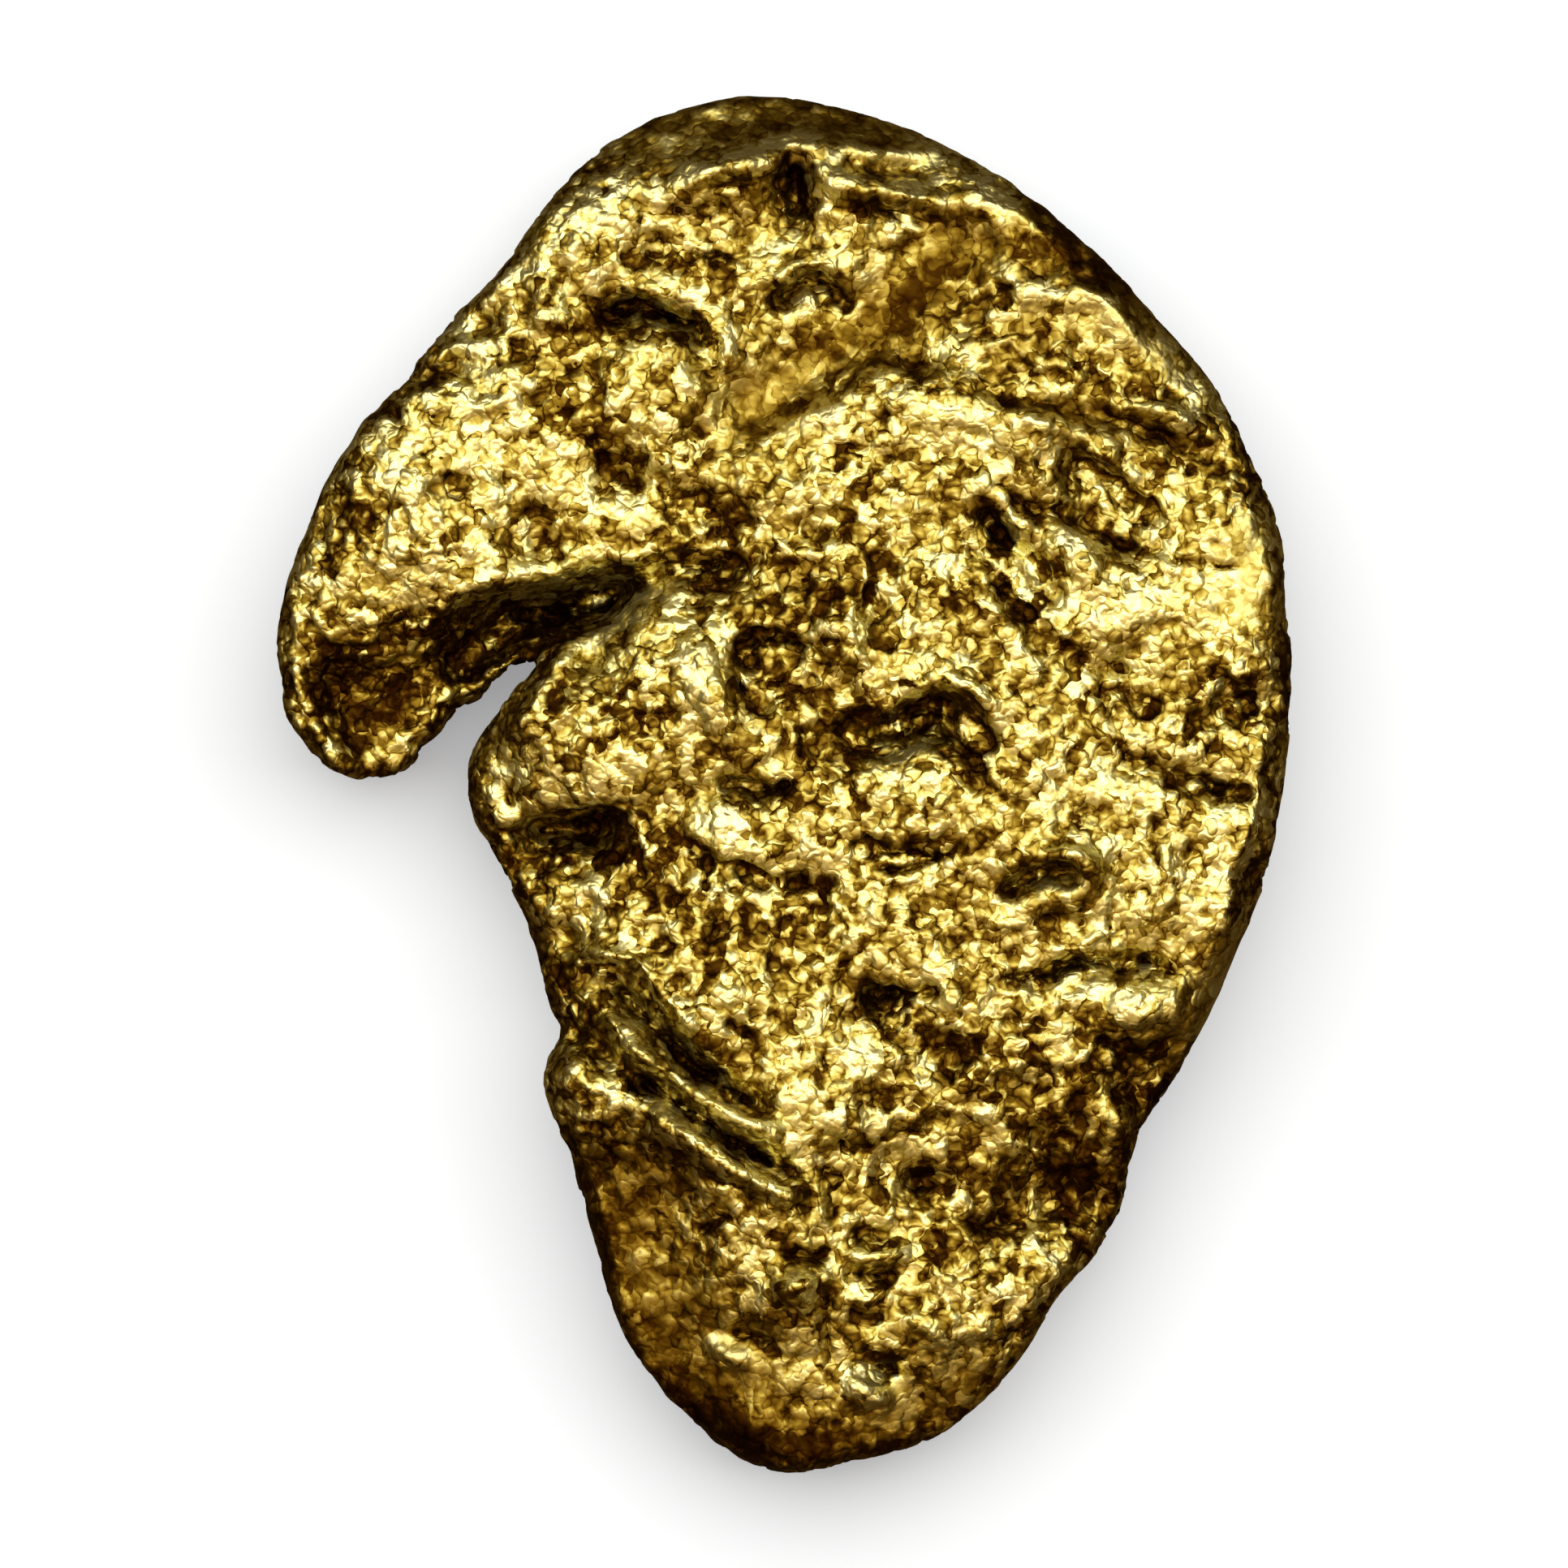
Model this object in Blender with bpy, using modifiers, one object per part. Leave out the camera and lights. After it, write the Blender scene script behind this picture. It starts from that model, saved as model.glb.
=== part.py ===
"""A gold nugget, 24 mm long: one natural lump of native gold, worn by a river.

It is a thick bent sheet whose outline runs round a narrow slot on the left. It lies on its worn
underside with its length along Y and its rough face up, +Z. The origin is on the surface that it
lies on, under the middle of its box. All shapes are worked out in millimetres, and the finished
mesh is scaled to metres."""

import bpy
import bmesh
import numpy as np
from mathutils import Matrix, Vector, noise

MM = 0.001
LENGTH = 24.17

SLAB_HALF = 1.0
RIM_ROUNDING = 0.48
RIM_STEPS = 5
SHEET_TOP = 3.10
THINNEST = 0.8
VOXEL = 0.13
TRIANGLES = 9400
WELD = 0.001

# Slow falls of the upper face: where each starts, how long it runs and how far it goes down.
TAIL_START = -5.0
TAIL_RUN = 7.0
TAIL_FALL = 0.75
TOP_START = 9.8
TOP_RUN = 1.6
TOP_RIM_WIDTH = 1.5
TOP_FALL = 0.62
EDGE_WIDTH = 0.9
EDGE_FALL = 0.12

# The underside rises from its middle to the rim like the outside of a bowl.
BOWL_WIDTH = 4.4
BOWL_RISE = 1.05
UNDERSIDE_MIDDLE = -0.20

# Uneven wear: size of the waves and how high they stand.
UPPER_WEAR = ((0.8, 0.17), (2.0, 0.22))
LOWER_WEAR = ((2.4, 0.24), (1.0, 0.08))

# A rounded form falls off as exp(-r ** LUMP_POWER), and noise moves its outline to and fro.
LUMP_POWER = 2.5
WANDER_SIZE = 0.9
WANDER_REACH = 0.30

# A line or a ledge fades out over this part of its length at each end.
FADE = 0.2

GOLD = (0.83, 0.55, 0.14, 1)
GOLD_METALLIC = 0.95
GOLD_ROUGHNESS = 0.36

# The outline, clockwise from the top end: down the right edge, round the tail, up the left edge
# with its notch and its lobe, into the slot, round the arm and back to the top.
RIGHT_EDGE = (
    (-0.80, 12.10), (0.50, 12.02), (2.00, 11.62), (3.35, 10.93), (5.00, 9.78), (6.30, 8.47),
    (7.40, 7.15), (8.10, 5.90), (8.60, 4.75), (8.83, 3.00), (8.86, 1.60), (8.72, -0.25),
    (8.42, -1.60), (7.64, -3.63), (6.78, -5.20), (6.21, -6.06), (5.98, -7.00), (5.35, -8.34),
    (4.78, -9.06), (4.06, -10.15), (3.35, -10.91), (2.64, -11.46),
)
TAIL = (
    (1.21, -11.84), (0.10, -12.08), (-0.94, -11.72), (-1.65, -11.13), (-2.36, -10.34),
    (-2.95, -9.25), (-3.35, -7.85), (-3.72, -6.49), (-4.05, -5.75), (-4.19, -5.10),
)
NOTCH_AND_LOBE = (
    (-3.97, -4.52), (-3.83, -4.25), (-4.05, -3.88), (-4.27, -3.00), (-4.65, -1.91),
    (-5.10, -1.06), (-5.47, -0.50), (-5.53, 0.20), (-5.30, 0.90), (-4.75, 1.62),
)
SLOT_AND_ARM = (
    (-4.30, 2.22), (-4.85, 2.12), (-5.30, 1.62), (-5.92, 1.30), (-6.02, 0.95), (-6.38, 0.72),
    (-6.62, 0.28), (-7.20, 0.16), (-7.90, 0.32), (-8.50, 0.88), (-8.84, 2.10), (-8.80, 3.20),
    (-8.30, 4.70), (-7.50, 6.20), (-6.70, 7.00), (-5.80, 8.20), (-4.82, 9.20), (-4.35, 9.92),
    (-3.55, 10.85), (-2.70, 11.52), (-1.80, 11.90),
)
OUTLINE = RIGHT_EDGE + TAIL + NOTCH_AND_LOBE + SLOT_AND_ARM

# Rounded forms of the upper face: centre, half sizes, turn in degrees, height. A height below
# zero is a hollow.
LUMPS = {
    "swell of the body": ((2.6, 0.6), (5.4, 6.8), 0, 0.85),
    "left lobe": ((-3.2, 1.2), (1.7, 1.5), 15, 0.42),
    "arm": ((-6.2, 4.9), (1.9, 2.3), -35, 0.50),
    "shoulder of the arm": ((-5.3, 6.6), (1.3, 0.6), 25, 0.18),
    "grainy knob": ((-2.1, 7.2), (1.0, 0.95), 0, 0.42),
    "upper left plateau": ((-3.5, 9.7), (1.0, 0.8), 40, 0.22),
    "cluster at the top right": ((3.4, 10.3), (0.85, 0.5), -40, 0.22),
    "bump of the right edge": ((7.75, 4.75), (0.6, 0.55), 0, 0.22),
    "mound below the arch": ((2.4, -0.2), (1.4, 0.8), 0, 0.26),
    "tongue": ((-0.8, -0.8), (0.8, 0.45), -25, 0.24),
    "oval bump": ((4.5, -2.05), (1.0, 0.33), 12, 0.24),
    "grainy bump": ((6.3, -3.9), (0.8, 0.7), 0, 0.36),
    "nub by the notch": ((-3.5, -5.3), (0.65, 0.65), 0, 0.38),
    "shelf above the folds": ((-0.2, -4.3), (1.9, 1.0), -35, 0.20),
    "crown of the tail": ((1.2, -8.3), (2.8, 2.2), -10, 0.32),
    "lower right swell": ((4.0, -8.9), (1.2, 0.8), 35, 0.28),
    "boot-shaped pit": ((0.15, 10.45), (0.34, 0.62), 12, -0.62),
    "hollow between the branches": ((1.9, 10.83), (0.9, 0.22), -8, -0.30),
    "floor under the crest": ((-0.9, 9.8), (1.2, 0.5), 0, -0.30),
    "pit left of the floor": ((-2.35, 9.3), (0.42, 0.28), 0, -0.34),
    "pit in the plateau": ((-3.85, 8.75), (0.25, 0.4), 0, -0.30),
    "pit by the shoulder": ((-5.2, 7.9), (0.6, 0.3), 15, -0.26),
    "pit right of the knob": ((-1.6, 8.35), (0.3, 0.25), 0, -0.20),
    "pit in the valley": ((2.45, 7.5), (0.35, 0.25), 0, -0.30),
    "pit at the root of the arm": ((-2.9, 5.5), (0.55, 0.5), -30, -0.46),
    "three-cornered hollow": ((-4.3, 4.35), (0.4, 0.62), 0, -0.38),
    "pit in the arm": ((-5.8, 5.35), (0.4, 0.25), 0, -0.26),
    "worn patch of the arm": ((-7.5, 4.6), (0.45, 0.7), -20, -0.20),
    "hollow above the crease": ((-1.3, 4.7), (0.8, 0.42), -10, -0.40),
    "pit of the plateau": ((0.75, 4.5), (0.55, 0.24), 0, -0.30),
    "upright hollow": ((1.6, 3.2), (0.3, 0.85), 0, -0.34),
    "flaky hollow": ((0.0, 3.5), (0.9, 0.45), 0, -0.24),
    "eye-shaped hollow": ((-0.05, 2.0), (0.8, 0.6), 0, -0.50),
    "rough hollow beside the arch": ((0.9, 1.0), (0.45, 0.9), 0, -0.30),
    "hollow below the arch": ((2.6, 1.0), (0.9, 0.45), -10, -0.36),
    "oval hollow": ((5.5, 5.2), (0.95, 0.5), -38, -0.40),
    "hollow under the thin rib": ((3.6, 4.4), (0.45, 0.6), 0, -0.30),
    "hollow at the right": ((7.8, 1.35), (0.7, 0.4), -10, -0.38),
    "small hollow at the right": ((6.35, 1.5), (0.35, 0.28), 0, -0.28),
    "pit below the band": ((5.7, 2.15), (0.45, 0.22), 25, -0.26),
    "ring pit of the lobe": ((-3.35, 2.2), (0.28, 0.28), 0, -0.22),
    "pit in the edge of the lobe": ((-4.85, -0.3), (0.2, 0.36), 0, -0.26),
    "slit above the tongue": ((-0.4, -0.15), (0.8, 0.2), -6, -0.46),
    "hollow under the lobe": ((-3.6, -0.85), (0.8, 0.38), -8, -0.52),
    "rough hollow in the middle": ((-2.1, -0.9), (0.5, 0.6), 0, -0.22),
    "pit behind the fold": ((-3.7, -2.65), (0.3, 0.3), 0, -0.26),
    "hollow right of the pit": ((0.4, -2.0), (0.5, 0.4), 0, -0.26),
    "oval pit": ((5.2, -0.5), (0.32, 0.2), 0, -0.30),
    "pit beside the oval bump": ((4.8, -2.42), (0.32, 0.22), 0, -0.26),
    "dark hollow of the middle": ((1.7, -3.9), (0.5, 0.35), -10, -0.40),
    "hollow to its lower right": ((2.8, -4.75), (0.5, 0.45), 0, -0.40),
    "hollow above the tail": ((1.8, -5.5), (0.5, 0.28), -15, -0.30),
    "round hollow of the tail": ((2.5, -6.95), (0.5, 0.36), -20, -0.40),
    "large hollow of the tail": ((5.0, -7.3), (0.95, 0.7), -20, -0.50),
    "dent of the right edge": ((8.25, -1.65), (0.45, 0.42), 0, -0.50),
    "lower end of the grainy bump": ((6.2, -5.2), (0.9, 0.5), -20, -0.36),
}

# Raised lines of the upper face: path, half width, height.
RIBS = {
    "crest": (((-2.4, 10.15), (-1.2, 10.75), (-0.4, 10.92), (0.1, 11.2), (1.2, 11.15),
               (2.5, 10.8)), 0.28, 0.36),
    "lower branch of the crest": (((0.45, 10.85), (1.4, 10.4), (2.2, 10.3), (3.1, 9.9)), 0.24, 0.30),
    "roof of the tent-shaped pit": (((-0.4, 8.6), (0.1, 9.0), (0.55, 9.2), (1.0, 8.95),
                                     (1.5, 8.6)), 0.22, 0.30),
    "rib round the knob": (((-3.0, 8.75), (-1.8, 8.6), (-1.35, 8.15), (-0.95, 7.3),
                            (-0.9, 6.9)), 0.22, 0.26),
    "curl by the shoulder": (((-4.4, 9.0), (-4.15, 8.6), (-4.3, 8.2), (-3.7, 8.15)), 0.2, 0.22),
    "first rib of the upper right": (((3.2, 8.6), (3.6, 8.98), (4.3, 8.6), (5.4, 8.65),
                                      (6.1, 7.9), (6.15, 7.2)), 0.24, 0.28),
    "second rib of the upper right": (((3.4, 7.6), (4.2, 7.7), (4.75, 7.5), (5.25, 7.0)), 0.22, 0.22),
    "third rib of the upper right": (((5.4, 6.95), (5.9, 6.62), (6.8, 6.5), (7.45, 5.9)), 0.22, 0.24),
    "edge of the plateau": (((-1.5, 5.3), (-0.5, 5.85), (0.6, 6.5), (1.6, 6.95), (3.2, 6.5),
                             (5.2, 6.25), (6.2, 5.95)), 0.45, 0.30),
    "rib outside the oval hollow": (((4.9, 6.05), (5.8, 5.75), (6.4, 5.1), (6.85, 4.4)), 0.2, 0.22),
    "thin rib": (((3.2, 5.5), (3.6, 5.1), (4.4, 4.3)), 0.22, 0.28),
    "bright band": (((4.4, 4.4), (5.0, 4.15), (5.6, 3.4), (6.3, 2.6)), 0.42, 0.30),
    "right band": (((7.9, 3.6), (8.0, 2.4), (8.25, 0.9), (8.2, -0.4), (7.7, -1.6), (7.4, -2.7),
                    (7.1, -3.3)), 0.42, 0.24),
    "rib of the valley at the right": (((7.0, -0.6), (6.6, -1.5), (6.4, -2.6)), 0.26, 0.22),
    "lip of the arm": (((-5.6, 3.7), (-4.5, 3.62), (-3.5, 3.7), (-2.7, 4.0)), 0.3, 0.20),
    "rib of the lobe": (((-3.5, 2.8), (-4.0, 2.1), (-4.25, 1.5), (-4.75, 0.8)), 0.22, 0.22),
    "rim of the lobe": (((-5.05, 0.1), (-4.95, -0.5), (-4.6, -0.6)), 0.2, 0.2),
    "crest of the eye's lobe": (((-2.0, 2.6), (-1.5, 2.1), (-1.2, 1.4), (-0.6, 0.6),
                                 (-0.1, 0.35)), 0.38, 0.34),
    "rib left of the upright hollow": (((1.2, 4.2), (1.2, 3.4), (1.1, 2.6), (1.5, 1.9)), 0.2, 0.2),
    "corner above the arch": (((2.0, 1.75), (2.7, 1.95), (3.3, 1.75), (3.7, 1.1)), 0.28, 0.26),
    "ridge above the oval bump": (((3.6, -1.4), (4.3, -1.15), (5.1, -1.2), (5.8, -1.75)), 0.26, 0.26),
    "arc above the folds": (((-4.0, -3.1), (-3.5, -2.95), (-3.0, -2.95), (-2.4, -3.3),
                             (-1.9, -3.95), (-1.2, -4.6)), 0.24, 0.28),
    "first fold": (((-3.4, -3.7), (-2.9, -4.25), (-2.4, -4.8), (-1.5, -5.4), (-0.6, -5.88),
                    (0.2, -6.25)), 0.21, 0.44),
    "second fold": (((-2.65, -5.3), (-2.0, -5.98), (-1.0, -6.63), (0.0, -7.15), (0.7, -7.4)),
                    0.25, 0.48),
    "rib across the tail": (((1.0, -8.25), (1.6, -8.25), (2.2, -8.12)), 0.22, 0.28),
    "second rib across the tail": (((-0.3, -8.65), (0.1, -8.78), (0.6, -8.68)), 0.22, 0.28),
    "third rib across the tail": (((1.0, -8.98), (1.4, -8.93), (1.9, -8.98)), 0.18, 0.22),
    "left blob of the tail": (((-1.25, -9.8), (-0.95, -10.05), (-0.55, -10.2)), 0.2, 0.28),
    "right blob of the tail": (((1.1, -10.4), (1.5, -10.72), (1.95, -10.95)), 0.2, 0.30),
    "slanting rib of the tail": (((2.1, -9.2), (2.6, -9.62), (3.1, -9.95)), 0.2, 0.26),
    "outer rib of the tail": (((2.55, -8.25), (2.8, -8.7), (3.1, -9.1)), 0.17, 0.2),
    "rib below the grainy bump": (((5.3, -5.4), (5.7, -5.8), (6.0, -6.15)), 0.2, 0.26),
    "rib at the lower right": (((3.7, -6.15), (4.2, -6.4), (4.65, -6.85)), 0.18, 0.22),
    "rib above the round hollow": (((2.3, -6.4), (2.6, -6.55), (2.95, -6.75)), 0.18, 0.22),
}

# Sunk lines of the upper face: path, half width, depth.
GROOVES = {
    "valley": (((-1.9, 5.4), (-0.8, 6.35), (0.4, 7.3), (1.5, 7.85), (2.2, 8.7), (3.2, 9.35),
                (4.6, 9.55)), 0.95, 0.50),
    "cleft between arm and lobe": (((-6.3, 1.9), (-5.3, 2.5), (-4.6, 2.85), (-3.9, 3.12),
                                    (-3.2, 3.36), (-2.4, 3.78)), 0.38, 1.50),
    "side arm of the valley": (((3.3, 7.1), (4.4, 6.72), (5.8, 6.45), (7.0, 5.95), (7.9, 5.5)),
                               0.28, 0.32),
    "crescent over the knob": (((-3.6, 8.15), (-2.9, 8.42), (-2.1, 8.3), (-1.5, 7.95),
                                (-1.15, 7.2)), 0.22, 0.46),
    "shadow below the tent": (((-0.35, 8.3), (0.2, 8.75), (0.6, 8.9), (1.2, 8.55)), 0.17, 0.34),
    "gully of the shoulder": (((-6.6, 7.15), (-5.9, 7.25), (-5.3, 7.3)), 0.2, 0.26),
    "groove under the lower branch": (((1.3, 10.15), (2.1, 10.05), (3.0, 9.7)), 0.2, 0.30),
    "crescent under the first rib": (((3.5, 8.72), (4.1, 8.75)), 0.16, 0.22),
    "groove beside the bright band": (((3.6, 5.35), (4.3, 4.85), (5.3, 4.6), (6.8, 3.95)), 0.22, 0.26),
    "scarp under the thin rib": (((3.3, 5.0), (3.9, 4.3), (4.5, 3.65), (5.1, 2.9)), 0.2, 0.28),
    "groove of the right edge": (((5.5, 0.45), (6.2, 0.42), (6.9, 0.18), (7.6, 0.0), (8.3, -0.2)),
                                 0.2, 0.28),
    "upper groove of the folds": (((-3.3, -3.3), (-2.75, -3.75), (-2.35, -4.2), (-1.7, -4.9),
                                   (-1.0, -5.37), (-0.1, -5.9)), 0.28, 0.62),
    "lower groove of the folds": (((-2.9, -4.85), (-2.3, -5.32), (-1.5, -5.85), (-0.6, -6.45),
                                   (0.5, -6.95)), 0.2, 0.52),
    "notch line": (((-3.9, -4.25), (-3.4, -4.4), (-3.0, -4.9), (-2.9, -5.2)), 0.22, 0.40),
    "first ripple": (((-0.1, -8.22), (0.4, -8.3), (0.9, -8.28)), 0.18, 0.28),
    "second ripple": (((1.0, -8.52), (1.5, -8.6), (2.1, -8.58)), 0.18, 0.28),
    "third ripple": (((1.1, -7.88), (1.7, -7.88), (2.5, -8.0)), 0.15, 0.22),
    "left ripple": (((-1.0, -9.5), (-0.5, -9.65), (0.0, -9.78)), 0.18, 0.26),
    "right ripple": (((1.1, -10.1), (1.6, -10.2), (2.1, -10.28)), 0.2, 0.28),
    "parting of the tail": (((0.75, -8.7), (0.75, -9.4), (0.9, -10.3)), 0.18, 0.22),
    "line above the large hollow": (((3.2, -7.75), (3.9, -7.72), (4.6, -7.7)), 0.2, 0.26),
}

# Steps of the upper face: path, drop on its right-hand side, width of the wall, reach of the
# lower ground before it rises again.
LEDGES = {
    "wall of the cleft": (((-6.0, 3.1), (-5.2, 3.35), (-4.3, 3.4), (-3.4, 3.45), (-2.7, 3.7)),
                          1.1, 0.30, 0.9),
    "crease": (((-3.6, 3.5), (-2.7, 3.72), (-2.0, 3.98), (-1.2, 3.98), (-0.5, 4.0)), 0.7, 0.25, 0.5),
    "end of the arm": (((-8.6, 1.5), (-7.8, 2.0), (-7.1, 2.3), (-6.2, 2.4), (-5.2, 2.8)),
                       0.95, 1.40, 2.4),
    "left side of the tail": (((-1.9, -11.6), (-0.9, -10.4), (-1.2, -8.9), (-1.7, -7.4),
                               (-2.7, -6.2), (-3.9, -6.0)), -0.65, 2.2, 3.0),
    "lower right side": (((2.6, -8.0), (3.9, -6.9), (5.0, -5.6), (6.2, -4.7), (7.6, -4.4)),
                         0.45, 1.2, 1.6),
    "arch": (((0.6, 0.5), (1.5, 1.0), (2.2, 1.55), (3.0, 1.7), (3.5, 1.2), (4.2, 0.2)),
             0.46, 0.22, 0.7),
    "crescent over the oval bump": (((3.5, -1.95), (4.0, -1.55), (4.7, -1.33), (5.4, -1.5)),
                                    0.46, 0.16, 0.4),
    "arch over the grainy bump": (((4.3, -3.3), (5.0, -2.98), (5.7, -3.05), (6.3, -2.95),
                                   (7.0, -3.4)), 0.50, 0.2, 0.45),
    "ledge under the lobe": (((-5.1, -0.75), (-4.2, -0.55), (-3.2, -0.35), (-2.5, -0.5)),
                             0.55, 0.3, 1.0),
    "line under the mound": (((1.0, -0.95), (1.9, -1.1), (3.2, -1.0)), 0.28, 0.16, 0.4),
    "line over the dark hollow": (((1.1, -3.45), (2.0, -3.5), (2.9, -3.55)), 0.34, 0.16, 0.4),
    "start of the tail": (((-0.2, -6.5), (0.9, -6.25), (2.2, -6.0), (3.6, -5.2), (5.0, -4.9)),
                          0.34, 0.4, 1.8),
}

# Forms of the underside: centre, half sizes, turn, depth. A depth below zero is worn down flat.
UNDERSIDE = {
    "worn flat under the middle": ((2.6, -0.6), (2.1, 1.9), 0, -0.55),
    "under the arm": ((-6.3, 4.2), (1.9, 2.3), -30, 0.55),
    "under the right edge": ((5.6, 3.9), (2.2, 1.6), -40, 0.50),
    "under the tail": ((1.4, -9.3), (2.6, 2.0), 0, 0.55),
    "under the middle": ((0.4, 2.4), (1.5, 0.9), 25, 0.38),
    "under the crease": ((-2.0, 4.6), (1.2, 0.8), 20, 0.34),
    "under the lower right": ((4.6, -3.9), (1.1, 1.5), 30, 0.36),
    "pit": ((0.3, -3.6), (0.6, 0.45), 0, 0.26),
    "second pit": ((3.0, 7.9), (0.8, 0.5), -20, 0.30),
    "third pit": ((-1.9, -0.4), (0.6, 0.5), 40, 0.26),
}


def clear_scene():
    for obj in list(bpy.data.objects):
        bpy.data.objects.remove(obj, do_unlink=True)


def slab():
    """The outline as a slab with a round rim. Its faces are at SLAB_HALF above and below z = 0."""
    curve = bpy.data.curves.new("outline", "CURVE")
    curve.dimensions = "2D"
    curve.fill_mode = "BOTH"
    curve.resolution_u = RIM_STEPS
    curve.extrude = SLAB_HALF - RIM_ROUNDING
    curve.bevel_depth = RIM_ROUNDING
    curve.bevel_resolution = RIM_STEPS
    curve.offset = -RIM_ROUNDING
    spline = curve.splines.new("BEZIER")
    spline.bezier_points.add(len(OUTLINE) - 1)
    for point, (x, y) in zip(spline.bezier_points, OUTLINE):
        point.co = (x, y, 0)
        point.handle_left_type = point.handle_right_type = "AUTO"
    spline.use_cyclic_u = True
    outline = bpy.data.objects.new("outline", curve)
    bpy.context.scene.collection.objects.link(outline)
    graph = bpy.context.evaluated_depsgraph_get()
    mesh = bpy.data.meshes.new_from_object(outline.evaluated_get(graph))
    bpy.data.objects.remove(outline, do_unlink=True)
    shape = bmesh.new()
    shape.from_mesh(mesh)
    bmesh.ops.remove_doubles(shape, verts=shape.verts, dist=WELD)
    shape.to_mesh(mesh)
    shape.free()
    return mesh


def modified(mesh, name, kind, **settings):
    """The mesh as one modifier leaves it."""
    obj = bpy.data.objects.new(name, mesh)
    bpy.context.scene.collection.objects.link(obj)
    modifier = obj.modifiers.new(name, kind)
    for key, value in settings.items():
        setattr(modifier, key, value)
    graph = bpy.context.evaluated_depsgraph_get()
    result = bpy.data.meshes.new_from_object(obj.evaluated_get(graph))
    bpy.data.objects.remove(obj, do_unlink=True)
    return result


def smooth_step(value):
    value = np.clip(value, 0, 1)
    return value * value * (3 - 2 * value)


def follow(path, x, y):
    """For each point: its distance from the path, its side (+1 left, -1 right), its place on it."""
    nearest = np.full(x.shape, np.inf)
    side = np.zeros(x.shape)
    place = np.zeros(x.shape)
    run_so_far = 0.0
    for (ax, ay), (bx, by) in zip(path, path[1:]):
        run = np.hypot(bx - ax, by - ay)
        share = np.clip(((x - ax) * (bx - ax) + (y - ay) * (by - ay)) / run**2, 0, 1)
        dx = x - ax - share * (bx - ax)
        dy = y - ay - share * (by - ay)
        distance = np.hypot(dx, dy)
        closer = distance < nearest
        nearest = np.where(closer, distance, nearest)
        side = np.where(closer, np.sign((bx - ax) * dy - (by - ay) * dx), side)
        place = np.where(closer, run_so_far + share * run, place)
        run_so_far += run
    return nearest, side, place / run_so_far


def lump(x, y, centre, half_sizes, turn, height):
    angle = np.radians(turn)
    dx = x - centre[0]
    dy = y - centre[1]
    along = (dx * np.cos(angle) + dy * np.sin(angle)) / half_sizes[0]
    across = (dy * np.cos(angle) - dx * np.sin(angle)) / half_sizes[1]
    return height * np.exp(-(np.hypot(along, across) ** LUMP_POWER))


def tapered(place):
    return smooth_step(place / FADE) * smooth_step((1 - place) / FADE)


def line(x, y, path, half_width, height):
    distance, _, place = follow(path, x, y)
    return height * np.exp(-((distance / half_width) ** 2)) * tapered(place)


def ledge(x, y, path, drop, wall, reach):
    """A drop to the right of the path, with the middle of its wall on the path."""
    distance, side, place = follow(path, x, y)
    below = smooth_step(0.5 - side * distance / wall)
    return -drop * below * np.exp(-((distance / reach) ** 2)) * tapered(place)


def rim_distance(x, y):
    return follow(OUTLINE + OUTLINE[:1], x, y)[0]


def wear(points, waves):
    """Uneven wear: for each size of wave, smooth noise of that height."""
    worn = np.zeros(len(points))
    for size, height in waves:
        worn += height * np.array([noise.noise(Vector(point) / size) for point in points])
    return worn


def wandering(points):
    """The x and y of each point, shifted by smooth noise."""
    shift = np.array([noise.noise_vector(Vector(point) / WANDER_SIZE) for point in points])
    return (points + WANDER_REACH * shift)[:, :2].T


def upper_face(points, x, y):
    height = np.full(x.shape, SHEET_TOP)
    near_x, near_y = wandering(points)
    for centre, half_sizes, turn, rise in LUMPS.values():
        height += lump(near_x, near_y, centre, half_sizes, turn, rise)
    for path, half_width, rise in RIBS.values():
        height += line(x, y, path, half_width, rise)
    for path, half_width, depth in GROOVES.values():
        height -= line(x, y, path, half_width, depth)
    for path, drop, wall, reach in LEDGES.values():
        height += ledge(x, y, path, drop, wall, reach)
    rim = rim_distance(x, y)
    height -= TAIL_FALL * smooth_step((TAIL_START - y) / TAIL_RUN)
    height -= TOP_FALL * smooth_step((y - TOP_START) / TOP_RUN) * (1 - smooth_step(rim / TOP_RIM_WIDTH))
    height -= EDGE_FALL * (1 - smooth_step(rim / EDGE_WIDTH))
    return height + wear(points, UPPER_WEAR)


def underside(points, x, y):
    height = UNDERSIDE_MIDDLE + BOWL_RISE * (1 - smooth_step(rim_distance(x, y) / BOWL_WIDTH))
    for centre, half_sizes, turn, rise in UNDERSIDE.values():
        height += lump(x, y, centre, half_sizes, turn, rise)
    return height + wear(points, LOWER_WEAR)


def sculpt(mesh):
    """Turns the even slab into the nugget: each point keeps its place between the two faces."""
    points = np.empty(len(mesh.vertices) * 3)
    mesh.vertices.foreach_get("co", points)
    points = points.reshape(-1, 3)
    x, y, level = points.T
    low = underside(points, x, y)
    high = np.maximum(upper_face(points, x, y), low + THINNEST)
    share = (level / SLAB_HALF + 1) / 2
    z = np.maximum(low + (high - low) * share, 0)
    mesh.vertices.foreach_set("co", np.stack([x, y, z], axis=1).ravel())
    mesh.update()


def native_gold():
    material = bpy.data.materials.new("native_gold")
    material.use_nodes = True
    shader = material.node_tree.nodes["Principled BSDF"]
    shader.inputs["Base Color"].default_value = GOLD
    shader.inputs["Metallic"].default_value = GOLD_METALLIC
    shader.inputs["Roughness"].default_value = GOLD_ROUGHNESS
    return material


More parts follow.
